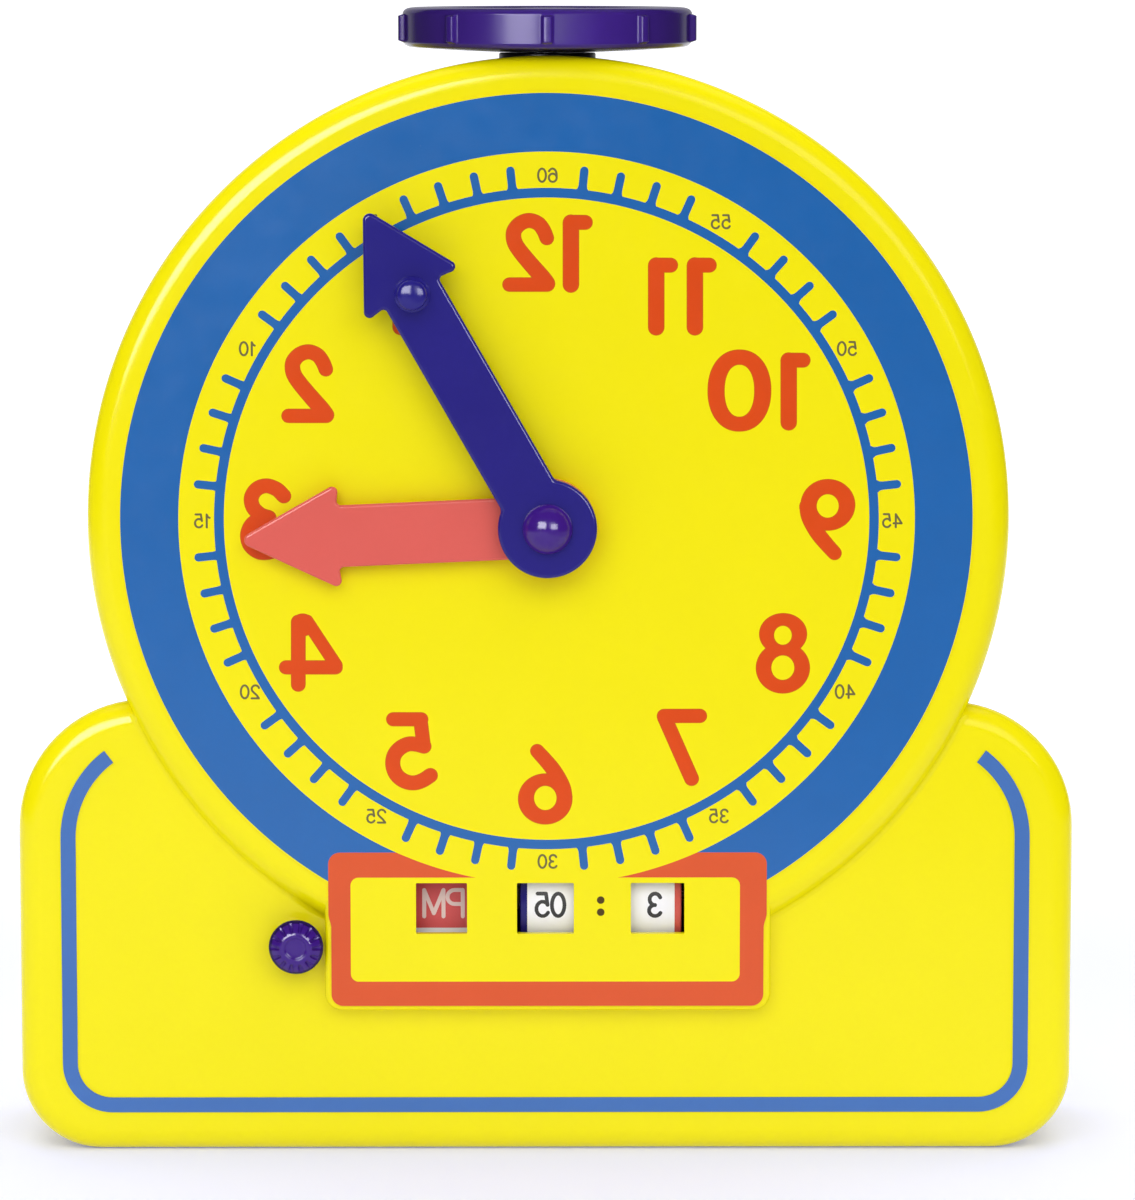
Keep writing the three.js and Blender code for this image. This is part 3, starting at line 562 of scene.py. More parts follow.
boolean(front, [drafted(plate("i1", disc(DISC_R - WALL, 96), DIAL_Y + WALL, SEAM_Y + 2, EDGE_R - WALL, 0, 4), "disc"),
                drafted(plate("i2", base(WALL, 8), BASE_Y + WALL, SEAM_Y + 2, BASE_EDGE_R - WALL, 0, 4), "base"),
                plate("i3", plaque(WALL, 4), DIAL_Y + WALL, DIAL_Y + 12)], "DIFFERENCE")
d_in, b_in = DIAL_Y + WALL - 0.5, BASE_Y + WALL - 0.5
boolean(front, [rod_y(4.6, d_in if z > 200 else b_in, SEAM_Y - 0.05, x, z, 20) for x, z in CASE_SCREWS]
        + [rod_y(4.6, b_in if z < 40 else d_in, 30.75, x, z, 20) for x, z in FRAME_SCREWS]
        + [rod_y(4.2, d_in, -20.55, x, z, 20) for x, z in BRIDGE_SCREWS], "UNION")
boolean(front, [rod_y(1.7, -26, SEAM_Y + 1, x, z, 12) for x, z in CASE_SCREWS]
        + [rod_y(1.7, 12, 32, x, z, 12) for x, z in FRAME_SCREWS]
        + [rod_y(1.5, -31, -19, x, z, 12) for x, z in BRIDGE_SCREWS]
        + [block(x0, x1, DIAL_Y - 2, DIAL_Y + 8, WIN_Z - WIN_H / 2, WIN_Z + WIN_H / 2, 0.35) for x0, x1 in WINDOWS]
        + [rod_y(4.9, DIAL_Y - 2, DIAL_Y + 8, 0, HUB_Z, 48), rod_y(3.4, BASE_Y - 2, BASE_Y + 6, FLAG_X, FLAG_Z, 40)],
        "DIFFERENCE")
tidy(front)
shade(front, 32)
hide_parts("front_casing")
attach(front, "case")

y_seam = SEAM_Y + SEAM_GAP
rear = drafted(plate("rear_shell", disc(DISC_R), y_seam, REAR_Y, LIP, EDGE_R, 12, [YELLOW]), "disc")
boolean(rear, [drafted(plate("r1", base(0.0), y_seam, REAR_Y, LIP, BASE_EDGE_R, 12, [YELLOW]), "base")], "UNION")
boolean(rear, [drafted(plate("i4", disc(DISC_R - WALL, 96), y_seam - 2, REAR_Y - WALL, 0, EDGE_R - WALL, 4), "disc"),
               drafted(plate("i5", base(WALL, 8), y_seam - 2, REAR_Y - WALL, 0, BASE_EDGE_R - WALL, 4), "base")], "DIFFERENCE")
boolean(rear, [rod_y(6, y_seam, REAR_Y - WALL + 0.5, x, z, 32) for x, z in CASE_SCREWS], "UNION")
boolean(rear, [rod_y(1.9, y_seam - 1, REAR_Y, x, z, 16) for x, z in CASE_SCREWS]
        + [plate("cut", (lambda x, z: lambda d: arc(x, z, 3.7 + d, 0, 360, 40)[:-1])(x, z), -8, REAR_Y + 0.001, 0, 0.0, 4) for x, z in CASE_SCREWS]
        + [lathe("neck_hole", [(14.2, 300), (14.2, 330), (0, 330), (0, 300)], 64, lambda a, b, h: (a, b + SHAFT_Y, h), [], closed=True)],
        "DIFFERENCE")
tidy(rear)
shade(rear, 32)
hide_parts("rear_casing")
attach(rear, "case")

# ------------------------------------------------------------------ printed dial
DIAL_MATS = [SHEET_YELLOW, BLUE, ORANGE, NUMBER, NUMBER_EDGE, GREY, COLON]
S_YEL, S_BLU, S_ORA, S_NUM, S_EDG, S_GRY, S_COL = range(7)


def on_dial(pts):
    return [at(x, y, PRINT_Y) for x, y in pts]


PX = 0.2862  # mm for one picture pixel at the dial


def pen(pts, width, curve=True):
    pts = on_dial(pts)
    width = tuple(w * PX for w in width) if isinstance(width, tuple) else width * PX
    return ("pen", smooth(pts) if curve and len(pts) > 2 else pts, width)


def oval(kind, x, y, rx, ry, power=2.0):
    cx, cz = at(x, y, PRINT_Y)
    return (kind, cx, cz, rx * PX, ry * PX * 1.008, power)


def moved(pts, dx, dy):
    return [(x + dx, y + dy) for x, y in pts]


def turned_about(pts, cx, cy):
    return [(cx - x, cy - y) for x, y in pts]


def one(cx, top):
    return [pen([(cx, top + 7.9), (cx, top + 69.8)], 16.5, False), pen([(cx - 0.6, top + 7.5), (cx + 14.4, top + 7.6)], 15.0, False)]


def two(dx, dy):
    c = [(546.8, 238.0), (543.6, 230.4), (538.2, 223.6), (529.3, 220.5), (520.4, 223.4), (514.4, 230.2), (513.5, 237.4),
         (515.6, 244.4), (520.6, 251.8), (527.6, 260.4), (535.4, 269.4), (542.6, 277.6), (547.0, 283.6)]
    return [pen(moved(c, dx, dy), (14.6, 16.6)), pen(moved([(509.5, 284.6), (547.4, 284.6)], dx, dy), 14.5, False)]


six_tail = [(537.2, 751.0), (545.0, 759.6), (552.6, 768.8), (558.6, 778.4), (562.9, 788.2), (564.3, 797.6)]
NUMERALS = {
    "12": [*one(570.9, 214.8), *two(0, 0)],
    "11": [*one(656.2, 257.6), *one(694.9, 257.6)],
    "10": [*one(788.7, 352.6), oval("oval", 739.4, 390.6, 31.8, 40.7, 2.15), oval("hole", 739.4, 390.8, 14.6, 25.6, 2.2)],
    "9": [oval("oval", 827.9, 504.9, 27.4, 25.8), oval("hole", 827.7, 506.0, 10.9, 11.6),
          pen(turned_about(six_tail, 827.9 + 545.2 - 1.3, 504.9 + 799.2), (14.4, 16.7))],
    "8": [oval("oval", 783.1, 634.0, 24.1, 21.0), oval("oval", 782.9, 667.9, 27.2, 25.8), oval("hole", 782.9, 635.3, 8.8, 9.4),
          oval("hole", 782.8, 667.7, 11.4, 12.2)],
    "7": [pen([(664.0, 716.0), (699.9, 715.9)], 14.6, False), pen([(664.2, 716.6), (691.6, 778.7)], 15.0, False)],
    "6": [oval("oval", 545.2, 799.0, 27.4, 25.8), oval("hole", 545.3, 798.0, 11.2, 12.1), pen(six_tail, (14.4, 16.7))],
    "5": [pen([(393.2, 719.3), (421.2, 719.3)], 14.5, False), pen([(420.4, 719.6), (423.7, 746.2)], 14.5, False),
          pen([(424.0, 746.3), (416.4, 744.3), (407.8, 744.2), (399.2, 748.8), (393.8, 756.4), (393.0, 766.2), (397.0, 775.4),
               (405.2, 781.4), (414.4, 782.9), (423.0, 780.2), (430.4, 775.4)], 15.2)],
    "4": [pen([(298.3, 622.0), (298.3, 684.5)], 14.9, False), pen([(286.1, 667.4), (335.6, 667.4)], 14.5, False),
          pen([(306.9, 621.0), (336.2, 665.4)], 13.2, False), oval("oval", 302.7, 625.0, 11.8, 11.6)],
    "3": [pen([(283.8, 496.0), (276.6, 489.2), (266.2, 485.8), (256.6, 489.2), (251.3, 498.0), (253.3, 507.6), (260.6, 514.6), (269.0, 517.6)], 15.0),
          pen([(269.0, 518.6), (258.6, 519.8), (250.9, 526.0), (247.6, 536.0), (250.6, 545.6), (258.8, 551.8), (268.4, 552.2), (278.8, 548.4), (286.4, 541.4)], 15.2)],
    "2": two(-221.0, 131.3),
    "1": one(400.6, 257.2),
}

# Thin characters as pen strokes in a box 1 high, drawn the usual way round.
W = 0.56


def bow(cx, cy, rx, ry, a0, a1, n=12):
    return [(cx + rx * math.cos(math.radians(a0 + (a1 - a0) * k / n)), cy + ry * math.sin(math.radians(a0 + (a1 - a0) * k / n))) for k in range(n + 1)]


THIN = {
    "0": ([bow(0.28, 0.5, 0.28, 0.5, 90, 270), bow(0.28, 0.5, 0.28, 0.5, -90, 90)], W),
    "1": ([[(0.06, 0.74), (0.17, 0.79), (0.27, 0.99)], [(0.27, 0.99), (0.27, 0.0)]], 0.36),
    "2": ([bow(0.27, 0.72, 0.27, 0.28, 165, -30) + [(0.36, 0.42), (0.18, 0.24), (0.03, 0.02)], [(0.02, 0.0), (0.55, 0.0)]], W),
    "3": ([bow(0.27, 0.745, 0.245, 0.255, 160, -90), bow(0.27, 0.25, 0.27, 0.25, 90, -155)], W),
    "4": ([[(0.42, 0.0), (0.42, 1.0)], [(0.42, 1.0), (0.0, 0.3)], [(0.0, 0.3), (0.58, 0.3)]], 0.58),
    "5": ([[(0.5, 1.0), (0.12, 1.0)], [(0.12, 1.0), (0.05, 0.5)], [(0.05, 0.5)] + bow(0.27, 0.325, 0.28, 0.325, 125, -150)], W),
    "6": ([bow(0.28, 0.31, 0.28, 0.31, 0, 180), bow(0.28, 0.31, 0.28, 0.31, 180, 360), [(0.0, 0.33)] + bow(0.30, 0.52, 0.30, 0.48, 170, 35)], W),
    "7": ([[(0.0, 1.0), (0.54, 1.0)], [(0.54, 1.0), (0.34, 0.62), (0.2, 0.0)]], W),
    "8": ([bow(0.28, 0.75, 0.235, 0.25, 90, 270), bow(0.28, 0.75, 0.235, 0.25, -90, 90),
           bow(0.28, 0.255, 0.28, 0.255, 90, 270), bow(0.28, 0.255, 0.28, 0.255, -90, 90)], W),
    "9": ([bow(0.28, 0.69, 0.28, 0.31, 0, 180), bow(0.28, 0.69, 0.28, 0.31, 180, 360), [(0.56, 0.67)] + bow(0.26, 0.48, 0.30, 0.48, -10, -145)], W),
    "P": ([[(0.0, 0.0), (0.0, 1.0)], [(0.0, 1.0)] + bow(0.3, 0.735, 0.27, 0.265, 90, -90) + [(0.0, 0.47)]], 0.57),
    "A": ([[(0.0, 0.0), (0.33, 1.0)], [(0.33, 1.0), (0.66, 0.0)], [(0.13, 0.36), (0.53, 0.36)]], 0.66),
    "M": ([[(0.0, 0.0), (0.0, 1.0)], [(0.0, 1.0), (0.36, 0.12)], [(0.36, 0.12), (0.72, 1.0)], [(0.72, 1.0), (0.72, 0.0)]], 0.72),
}


def thin_text(text, cx, cz, height, pen_w, squeeze=1.0, gap=0.24):
    """Mirrored thin text centred at (cx, cz), as outlines."""
    h = height - pen_w
    k = squeeze * h
    widths = [THIN[c][1] * k for c in text]
    total = sum(widths) + gap * height * (len(text) - 1)
    x = cx + total / 2
    out = []
    for c, w in zip(text, widths):
        for pts in THIN[c][0]:
            q = [(x - px * k, cz - h / 2 + pz * h) for px, pz in pts]
            out.append(ccw(stroke(q, pen_w, 5)))
        x -= w + gap * height
    return out


# the frame round the windows is a little wider above, where it lies on the disc
frame_edge = (arc(58.7, 47.35, 3.4, -90, 0, 12) + [(62.15, 67.0), (62.35, 68.2), (62.75, 69.4), (63.0, 70.6)] + arc(59.6, 85.3, 3.4, 0, 90, 12)
              + arc(-59.7, 85.3, 3.4, 90, 180, 12) + [(-63.1, 70.6), (-62.9, 69.4), (-62.5, 68.2), (-62.3, 67.0)] + arc(-58.9, 47.35, 3.4, 180, 270, 12))
layers = [(S_YEL, ellipse(-0.3, AXIS_Z, 121.95, 121.95, 360)), (S_BLU, ellipse(-0.3, AXIS_Z, 121.65, 121.65, 360)),
          (S_ORA, frame_edge), (S_YEL, round_rect(-56.7, 51.05, 55.3, 81.4, 2.3, 10)),
          (S_YEL, ellipse(-0.25, AXIS_Z, 105.1, 105.1, 360)),
          (S_BLU, ellipse(-0.3, AXIS_Z, 94.85, 94.85, 360)), (S_YEL, ellipse(-0.25, AXIS_Z, 92.1, 92.1, 360))]
for minute in range(60):
    if minute % 5 == 0:
        continue
    a = math.radians(90 + 6 * minute)
    u, t = Vector((math.cos(a), math.sin(a))), Vector((-math.sin(a), math.cos(a)))
    c = Vector((0, AXIS_Z))
    side = [(93.6, 1.9), (94.7, 1.75), (95.0, 1.5), (95.4, 1.3), (96.1, 1.2), (100.2, 1.2)]
    out = [tuple(c + u * r + t * w) for r, w in side]
    out += [tuple(c + u * (100.2 + 1.2 * math.cos(b)) + t * (1.2 * math.sin(b))) for b in [math.pi / 2 - math.pi * k / 8 for k in range(1, 8)]]
    out += [tuple(c + u * r - t * w) for r, w in reversed(side)]
    layers.append((S_BLU, out))
EDGE_IN = 0.26
for shapes in NUMERALS.values():
    solid = [s for s in shapes if s[0] != "hole"]
    holes = [s for s in shapes if s[0] == "hole"]
    layers += [(S_EDG, grown(s, 0.0)) for s in solid]
    layers += [(S_NUM, grown(s, -EDGE_IN)) for s in solid]
    layers += [(S_EDG, grown(s, -EDGE_IN)) for s in holes]
    layers += [(S_YEL, grown(s, 0.0)) for s in holes]
for k in range(12):
    text = "60" if k == 0 else str(5 * k)
    a = math.radians(90 + 30 * k)
    r = 98.4
    for p in thin_text(text, r * math.cos(a), AXIS_Z + r * math.sin(a), 4.35, 0.62, 1.06, 0.19):
        layers.append((S_GRY, p))
for z in (74.83, 71.3):
    layers.append((S_COL, ellipse(15.25, z, 1.1, 1.1, 28)))
for x0, x1 in WINDOWS:
    layers.append((None, round_rect(x0, WIN_Z - WIN_H / 2, x1, WIN_Z + WIN_H / 2, 0.35, 4)))
layers.append((None, ellipse(0, HUB_Z, 6.0, 6.0, 48)))
dial = sheet_mesh("dial_print", layers, DIAL_MATS, PRINT_Y, DIAL_Y - 0.05)
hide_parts("dial_label")
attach(dial, "case")

SX, SW, SZ, SR, SRU, SUZ = 139.7, 4.3, 11.65, 14.3, 31.9, 91.9
outer = (arc(SX - SRU, SUZ, SRU, 53.2, 0, 20) + arc(SX - SR, SZ + SR, SR, 0, -90, 14)
         + arc(-SX + SR, SZ + SR, SR, -90, -180, 14) + arc(-SX + SRU, SUZ, SRU, 180, 126.8, 20))
inner = (arc(-SX + SRU, SUZ, SRU - SW, 126.8, 180, 20) + arc(-SX + SR, SZ + SR, SR - SW, 180, 270, 14)
         + arc(SX - SR, SZ + SR, SR - SW, -90, 0, 14) + arc(SX - SRU, SUZ, SRU - SW, 0, 53.2, 20))
stripe = sheet_mesh("base_stripe_print", [(0, [(x - 0.7, z) for x, z in outer + inner])], [STRIPE], BASE_Y - 0.35, BASE_Y - 0.05)
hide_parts("base_stripe")
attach(stripe, "case")

# ------------------------------------------------------------------ top wheel, neck
RIBS, RIB_OUT, RIB_HALF, RIB_Z, RIB_H = 9, 1.75, 1.7, 323.97, 4.15


def soft_step(x, a, b):
    t = min(1.0, max(0.0, (x - a) / (b - a)))
    return t * t * (3 - 2 * t)


def rib_radius(r, h, a):
    if r < 41.0:
        return r
    step = 2 * math.pi / RIBS
    d = (a + math.pi / 2 + step / 2) % step - step / 2
    across = abs(d) * 41.9
    bar = 1 - soft_step(across, RIB_HALF - 0.75, RIB_HALF + 0.25)
    crown = math.sqrt(max(0.0, 1 - (min(across, RIB_HALF) / (RIB_HALF * 1.6)) ** 2))
    tall = 1 - soft_step(abs(h - RIB_Z), RIB_H - 0.7, RIB_H + 0.1)
    return r + (RIB_OUT * crown) * bar * tall


wheel_profile = [(0, 317.15), (15.0, 317.15), (17.0, 317.17), (28.0, 317.67), (39.0, 318.4), (39.9, 318.53)]
wheel_profile += [(40.6, 318.75), (41.2, 319.1), (41.6, 319.55)]
wheel_profile += [(41.9, 319.75 + 0.12 * k) for k in range(1, 12)]
wheel_profile += [(41.9, 321.35 + 0.4 * k) for k in range(0, 14)]
wheel_profile += [(41.9, 326.9 + 0.12 * k) for k in range(0, 12)]
wheel_profile += [(41.75, 328.6), (41.45, 329.05), (41.0, 329.4), (40.4, 329.65), (39.6, 329.82), (38.5, 329.93), (36.5, 330.0), (34.5, 330.0)]
# a shallow dished top with a soft central boss, all below the rim
wheel_profile += [(33.6, 329.93), (32.9, 329.7), (32.3, 329.35), (31.5, 329.12), (30.4, 329.05), (18, 329.05), (11.4, 329.05), (10.6, 329.12),
                  (10.0, 329.4), (9.3, 329.62), (8.2, 329.7), (4.0, 329.75), (0, 329.75)]
angles = []
for i in range(RIBS):
    c0 = -math.pi / 2 + 2 * math.pi * i / RIBS
    for k in range(-14, 15):
        angles.append(c0 + k * 0.2 / 41.9)
    for k in range(1, 18):
        angles.append(c0 + 14 * 0.2 / 41.9 + k * (2 * math.pi / RIBS - 28 * 0.2 / 41.9) / 18)
# painted shade: the wheel is made in the darker shaded copy of the purple
wheel = lathe("top_wheel_moulding", wheel_profile, 0, lambda a, b, h: (a, b + SHAFT_Y, h), [PURPLE_PAINTED_SHADE], rib_radius, angles, closed=False)
shade(wheel, 50, False)
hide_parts("top_wheel")
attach(wheel, "wheel")

collar = lathe("neck_collar_moulding", [(3.35, 308.5), (17.2, 308.5), (17.5, 308.8), (17.5, 311.2), (17.2, 311.5), (14.3, 311.5), (14.0, 311.8),
                                        (14.0, 316.45), (13.7, 316.8), (3.35, 316.8)], 96, lambda a, b, h: (a, b + SHAFT_Y, h), [BLACK])
shade(collar, 35, False)
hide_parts("neck_collar")
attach(collar, "case")


# ------------------------------------------------------------------ hands
def spin(pts, deg):
    a = math.radians(deg)
    return [(x * math.cos(a) - z * math.sin(a), HUB_Z + x * math.sin(a) + z * math.cos(a)) for x, z in pts]


def hand_outline(hub, half, neck, barb, barb_x, tip):
    a = math.degrees(math.asin(half / hub))
    head = corner([(neck - 6, -half), (neck, -half), (barb_x + 0.9, -barb), (tip + 0.35, 0), (barb_x + 0.9, barb), (neck, half), (neck - 6, half)],
                  [0, 1.2, 1.6, 2.0, 1.6, 1.2, 0], 8)
    return arc(0, 0, hub, a, 360 - a, 72) + head


minute = bevelled("minute_hand_moulding", spin(hand_outline(14.1, 8.7, 77.3, 16.05, 75.4, 104.5), MIN_AT), -47.4, -44.6, 1.0, 6, [PURPLE])
pin_x, pin_z = spin([(76.8, 0)], MIN_AT)[0]
grip_profile = [(0, 0.2), (5.2, 0.2), (5.2, 0.5), (5.05, 0.78), (4.75, 0.95), (4.5, 1.05), (4.3, 1.25), (4.2, 1.6), (4.2, 2.6),
                (4.25, 3.6), (4.28, 4.4), (4.26, 5.0), (4.15, 5.5), (3.95, 5.88), (3.65, 6.13), (3.3, 6.32), (2.8, 6.5), (2.2, 6.65), (1.5, 6.78),
                (0.8, 6.86), (0.3, 6.895), (0, 6.9)]
grip = lathe("grip", grip_profile, 64, lambda a, b, h: (pin_x + a, -47.4 + 0.4 - h, pin_z + b), [PURPLE], closed=False)
# close the dome's underside
bm = bmesh.new()
bm.from_mesh(grip.data)
bmesh.ops.holes_fill(bm, edges=[e for e in bm.edges if e.is_boundary])
bmesh.ops.recalc_face_normals(bm, faces=bm.faces)
bm.to_mesh(grip.data)
bm.free()
boolean(minute, [grip], "UNION")
tidy(minute)
shade(minute, 30)
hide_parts("minute_hand")
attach(minute, "minute")

hour = bevelled("hour_hand_moulding", spin(hand_outline(14.0, 8.85, 59.8, 15.5, 57.9, 88.5), HOUR_AT), -42.4, -39.9, 0.85, 6, [CORAL])
boolean(hour, [rod_y(4.55, -44, -38, 0, HUB_Z, 40)], "DIFFERENCE")
tidy(hour)
shade(hour, 30)
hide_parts("hour_hand")
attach(hour, "hour")

cap_profile = [(2.6, 0.0), (7.15, 0.0), (7.15, 0.2), (7.12, 0.45), (7.06, 0.65), (7.0, 0.84), (6.95, 1.1), (6.93, 1.35)]
cap_profile += [(7.5 * math.sin(math.radians(66.2 * (1 - k / 20))), -1.5 + 7.5 * math.cos(math.radians(66.2 * (1 - k / 20)))) for k in range(20)] + [(0, 6.0)]
cap = lathe("hub_cap_dome", cap_profile + [(0, 2.12), (2.6, 2.12)], 96, lambda a, b, h: (a, -47.45 - h, HUB_Z + b), [PURPLE_CAP])
shade(cap, 35, False)
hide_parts("hub_cap")
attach(cap, "minute")


# ------------------------------------------------------------------ drums
def drum_point(x, s, r):
    a = s / STRIP_R
    return (x, DRUM_Y - r * math.cos(a), DRUM_Z + r * math.sin(a))


def number_strip(name, x0, x1, texts, cx, upward, height, pen_w, squeeze, gap):
    half = math.pi * STRIP_R
    lay = [(0, [(x0, -half), (x1, -half), (x1, half), (x0, half)])]
    for k, text in enumerate(texts):
        a = upward * k * 30.0
        a = (a + 180.0) % 360.0 - 180.0
        s = math.radians(a) * STRIP_R
        copies = [s] if abs(abs(a) - 180.0) > 1e-6 else [half, -half]
        for c in copies:
            for p in thin_text(text, cx, c + 0.35, height, pen_w, squeeze, gap):
                lay.append((1, p))
    lines = [((x0 - 0.1, half * (2 * i / 90 - 1)), (x1 + 0.1, half * (2 * i / 90 - 1))) for i in range(1, 90)]
    o = sheet_mesh(name, lay, [DRUM_WHITE, INK], STRIP_R, STRIP_R - 0.3, lines, wrap=drum_point, only=0)
    bm = bmesh.new()
    bm.from_mesh(o.data)
    bmesh.ops.remove_doubles(bm, verts=bm.verts, dist=1e-6)
    # the two ends meet: drop the walls between them
    seen = {}
    for f in list(bm.faces):
        key = tuple(sorted(v.index for v in f.verts))
        seen.setdefault(key, []).append(f)
    bmesh.ops.delete(bm, geom=[f for fs in seen.values() if len(fs) > 1 for f in fs], context="FACES_ONLY")
    bmesh.ops.recalc_face_normals(bm, faces=bm.faces)
    bm.to_mesh(o.data)
    bm.free()
    shade(o, 40, False)
    return o


def drum_body(name, x0, x1, open_right, material):
    prof = [(2.3, x0), (5.0, x0), (5.0, x0 + 0.01)]
    if open_right:  # web on the left
        prof = [(2.3, x0), (23.7, x0), (24.0, x0 + 0.3), (24.0, x1 - 0.3), (23.7, x1), (21.6, x1), (21.5, x1 - 0.1), (21.5, x0 + 2.2), (5.0, x0 + 2.2),
                (5.0, x1), (2.3, x1)]
    else:
        prof = [(2.3, x0), (5.0, x0), (5.0, x1 - 2.2), (21.5, x1 - 2.2), (21.5, x0 + 0.1), (21.6, x0), (23.7, x0), (24.0, x0 + 0.3), (24.0, x1 - 0.3),
                (23.7, x1), (2.3, x1)]
    o = lathe(name, prof, 120, lambda a, b, h: (h, DRUM_Y - a, DRUM_Z + b), [material])
    shade(o, 35, False)
    return o


mdrum = drum_body("minute_drum_moulding", -8, 8, True, PURPLE)
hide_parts("minute_drum")
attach(mdrum, "minute_counter")
hdrum = drum_body("hour_drum_moulding", 23.2, 38.6, False, CORAL)
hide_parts("hour_drum")
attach(hdrum, "hour_counter")
mstrip = number_strip("minute_number_print", -5.9, 7.9, ["%02d" % (5 * ((k + 1) % 12)) for k in range(12)], 0.75, 1, 7.7, 1.1, 0.98, 0.12)
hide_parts("minute_number_strip")
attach(mstrip, "minute_counter")
hstrip = number_strip("hour_number_print", 23.3, 36.6, [str((k + 2) % 12 + 1) for k in range(12)], 30.9, -1, 7.7, 1.15, 0.98, 0.12)
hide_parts("hour_number_strip")
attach(hstrip, "hour_counter")

# ------------------------------------------------------------------ half-day flag and its knob
FLAG_REST, FLAG_HALF, FLAG_TURN = 14.7, 10.6, 21.5
fa, fb = FLAG_REST - FLAG_TURN - FLAG_HALF, FLAG_REST + FLAG_HALF + 0.6
flag_outline = (arc(FLAG_X, FLAG_Z, 53.4, fa, fb, 30) + arc(FLAG_X, FLAG_Z, 31, fb, 12, 12)
                + arc(FLAG_X, FLAG_Z, 6.5, 55, 305, 30) + arc(FLAG_X, FLAG_Z, 31, -4, fa, 12))


def about_pivot(pts, deg):
    a = math.radians(deg)
    return [(FLAG_X + (x - FLAG_X) * math.cos(a) - (z - FLAG_Z) * math.sin(a), FLAG_Z + (x - FLAG_X) * math.sin(a) + (z - FLAG_Z) * math.cos(a))
            for x, z in pts]


patch = [(-41.5, 65.24), (-18.0, 65.24), (-18.0, 81.5), (-41.5, 81.5)]
am_patch = [(-41.5, 64.0), (-18.0, 64.0), (-18.0, 76.0), (-41.5, 76.0)]
fl = [(0, flag_outline), (2, about_pivot(am_patch, -FLAG_TURN)), (1, patch)]
for p in thin_text("PM", -30.15, 72.42, 8.9, 1.15, 1.0, 0.13):
    fl.append((3, p))
for p in thin_text("AM", -30.3, 71.0, 8.0, 1.1, 1.0, 0.13):
    fl.append((3, about_pivot(p, -FLAG_TURN)))
fl.append((None, ellipse(FLAG_X, FLAG_Z, 3.05, 3.05, 32)))
flag = sheet_mesh("half_day_flag_print", fl, [DRUM_WHITE, FLAG_RED, FLAG_BLUE, FLAG_PINK], BASE_Y + 3, BASE_Y + 4, only=0)
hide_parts("half_day_flag")
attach(flag, "half_day")

KY = BASE_Y - 0.7
FL = 14


def flute(r, h, a):
    if r < 4.6 or h < 3.0:
        return r
    w = 0.5 + 0.5 * math.cos(FL * (a - math.pi / 2))
    groove = soft_step(1 - w, 0.55, 0.95)
    return r - 1.25 * groove * soft_step(r, 4.5, 5.9) * (1 - soft_step(r, 7.1, 7.6)) * soft_step(h, 3.0, 5.0)


knob_profile = [(3.05, 0), (6.2, 0), (6.4, 0.12), (6.5, 0.4), (6.6, 1.2), (6.85, 2.4), (7.2, 3.6), (7.5, 4.6), (7.72, 5.4), (7.84, 5.9), (7.88, 6.3), (7.84, 6.65),
                (7.7, 6.95), (7.45, 7.25), (7.05, 7.65), (6.6, 8.1), (6.1, 8.55), (5.6, 8.98), (5.15, 9.32), (4.75, 9.56), (4.35, 9.74), (3.95, 9.84), (3.6, 9.87),
                (3.3, 9.84), (3.1, 9.74), (2.97, 9.58), (2.85, 9.44), (2.6, 9.38), (1.4, 9.4), (0, 9.42), (0, 6.3), (3.05, 6.3)]
knob = lathe("half_day_knob_moulding", knob_profile, 224, lambda a, b, h: (FLAG_X + a, KY - h, FLAG_Z + b), [PURPLE_CAP, PURPLE_PAINTED_SHADE], flute)
# painted shade: the knob's side wall and its rounded edge take the darker shaded purple, for the dark border round the
# knob
for f in knob.data.polygons:  # the side wall and its rounded edge
    if math.hypot(f.center.x / MM - FLAG_X, f.center.z / MM - FLAG_Z) > 7.0:
        f.material_index = 1
shade(knob, 40, False)
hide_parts("half_day_knob")
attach(knob, "half_day")


# ------------------------------------------------------------------ screws in the back
def cross_screw(name, node, x, z, y_head):
    prof = [(0, -2.2), (1.2, -2.18), (2.0, -2.02), (2.6, -1.7), (3.0, -1.25), (3.18, -0.7), (3.2, -0.15), (3.1, 0.0), (1.5, 0.0)]
    yy = 0.6
    while yy < 14.6:  # a rolled thread
        prof += [(1.5, yy), (1.28, yy + 0.55)]
        yy += 1.1
    prof += [(1.3, 15.2), (0.0, 17.0)]
    o = lathe(name, prof, 40, lambda a, b, h: (x + a, y_head - h, z + b), [STEEL], closed=False)
    arm, deep = 1.55, 1.35
    c1 = plate("cut", lambda d: corner([(x - arm, z - 0.33), (x + arm, z - 0.33), (x + arm, z + 0.33), (x - arm, z + 0.33)], 0.2, 3), y_head + 2.2 - deep, y_head + 3)
    c2 = plate("cut", lambda d: corner([(x - 0.33, z - arm), (x + 0.33, z - arm), (x + 0.33, z + arm), (x - 0.33, z + arm)], 0.2, 3), y_head + 2.2 - deep, y_head + 3)
    boolean(o, [c1, c2], "DIFFERENCE")
    tidy(o)
    shade(o, 30)
    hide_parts(node)
    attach(o, "case")


for i, (x, z) in enumerate(CASE_SCREWS):
    cross_screw("case_screw_%d_cross_head" % (i + 1), "case_screw_%d" % (i + 1), x, z, -7.9)

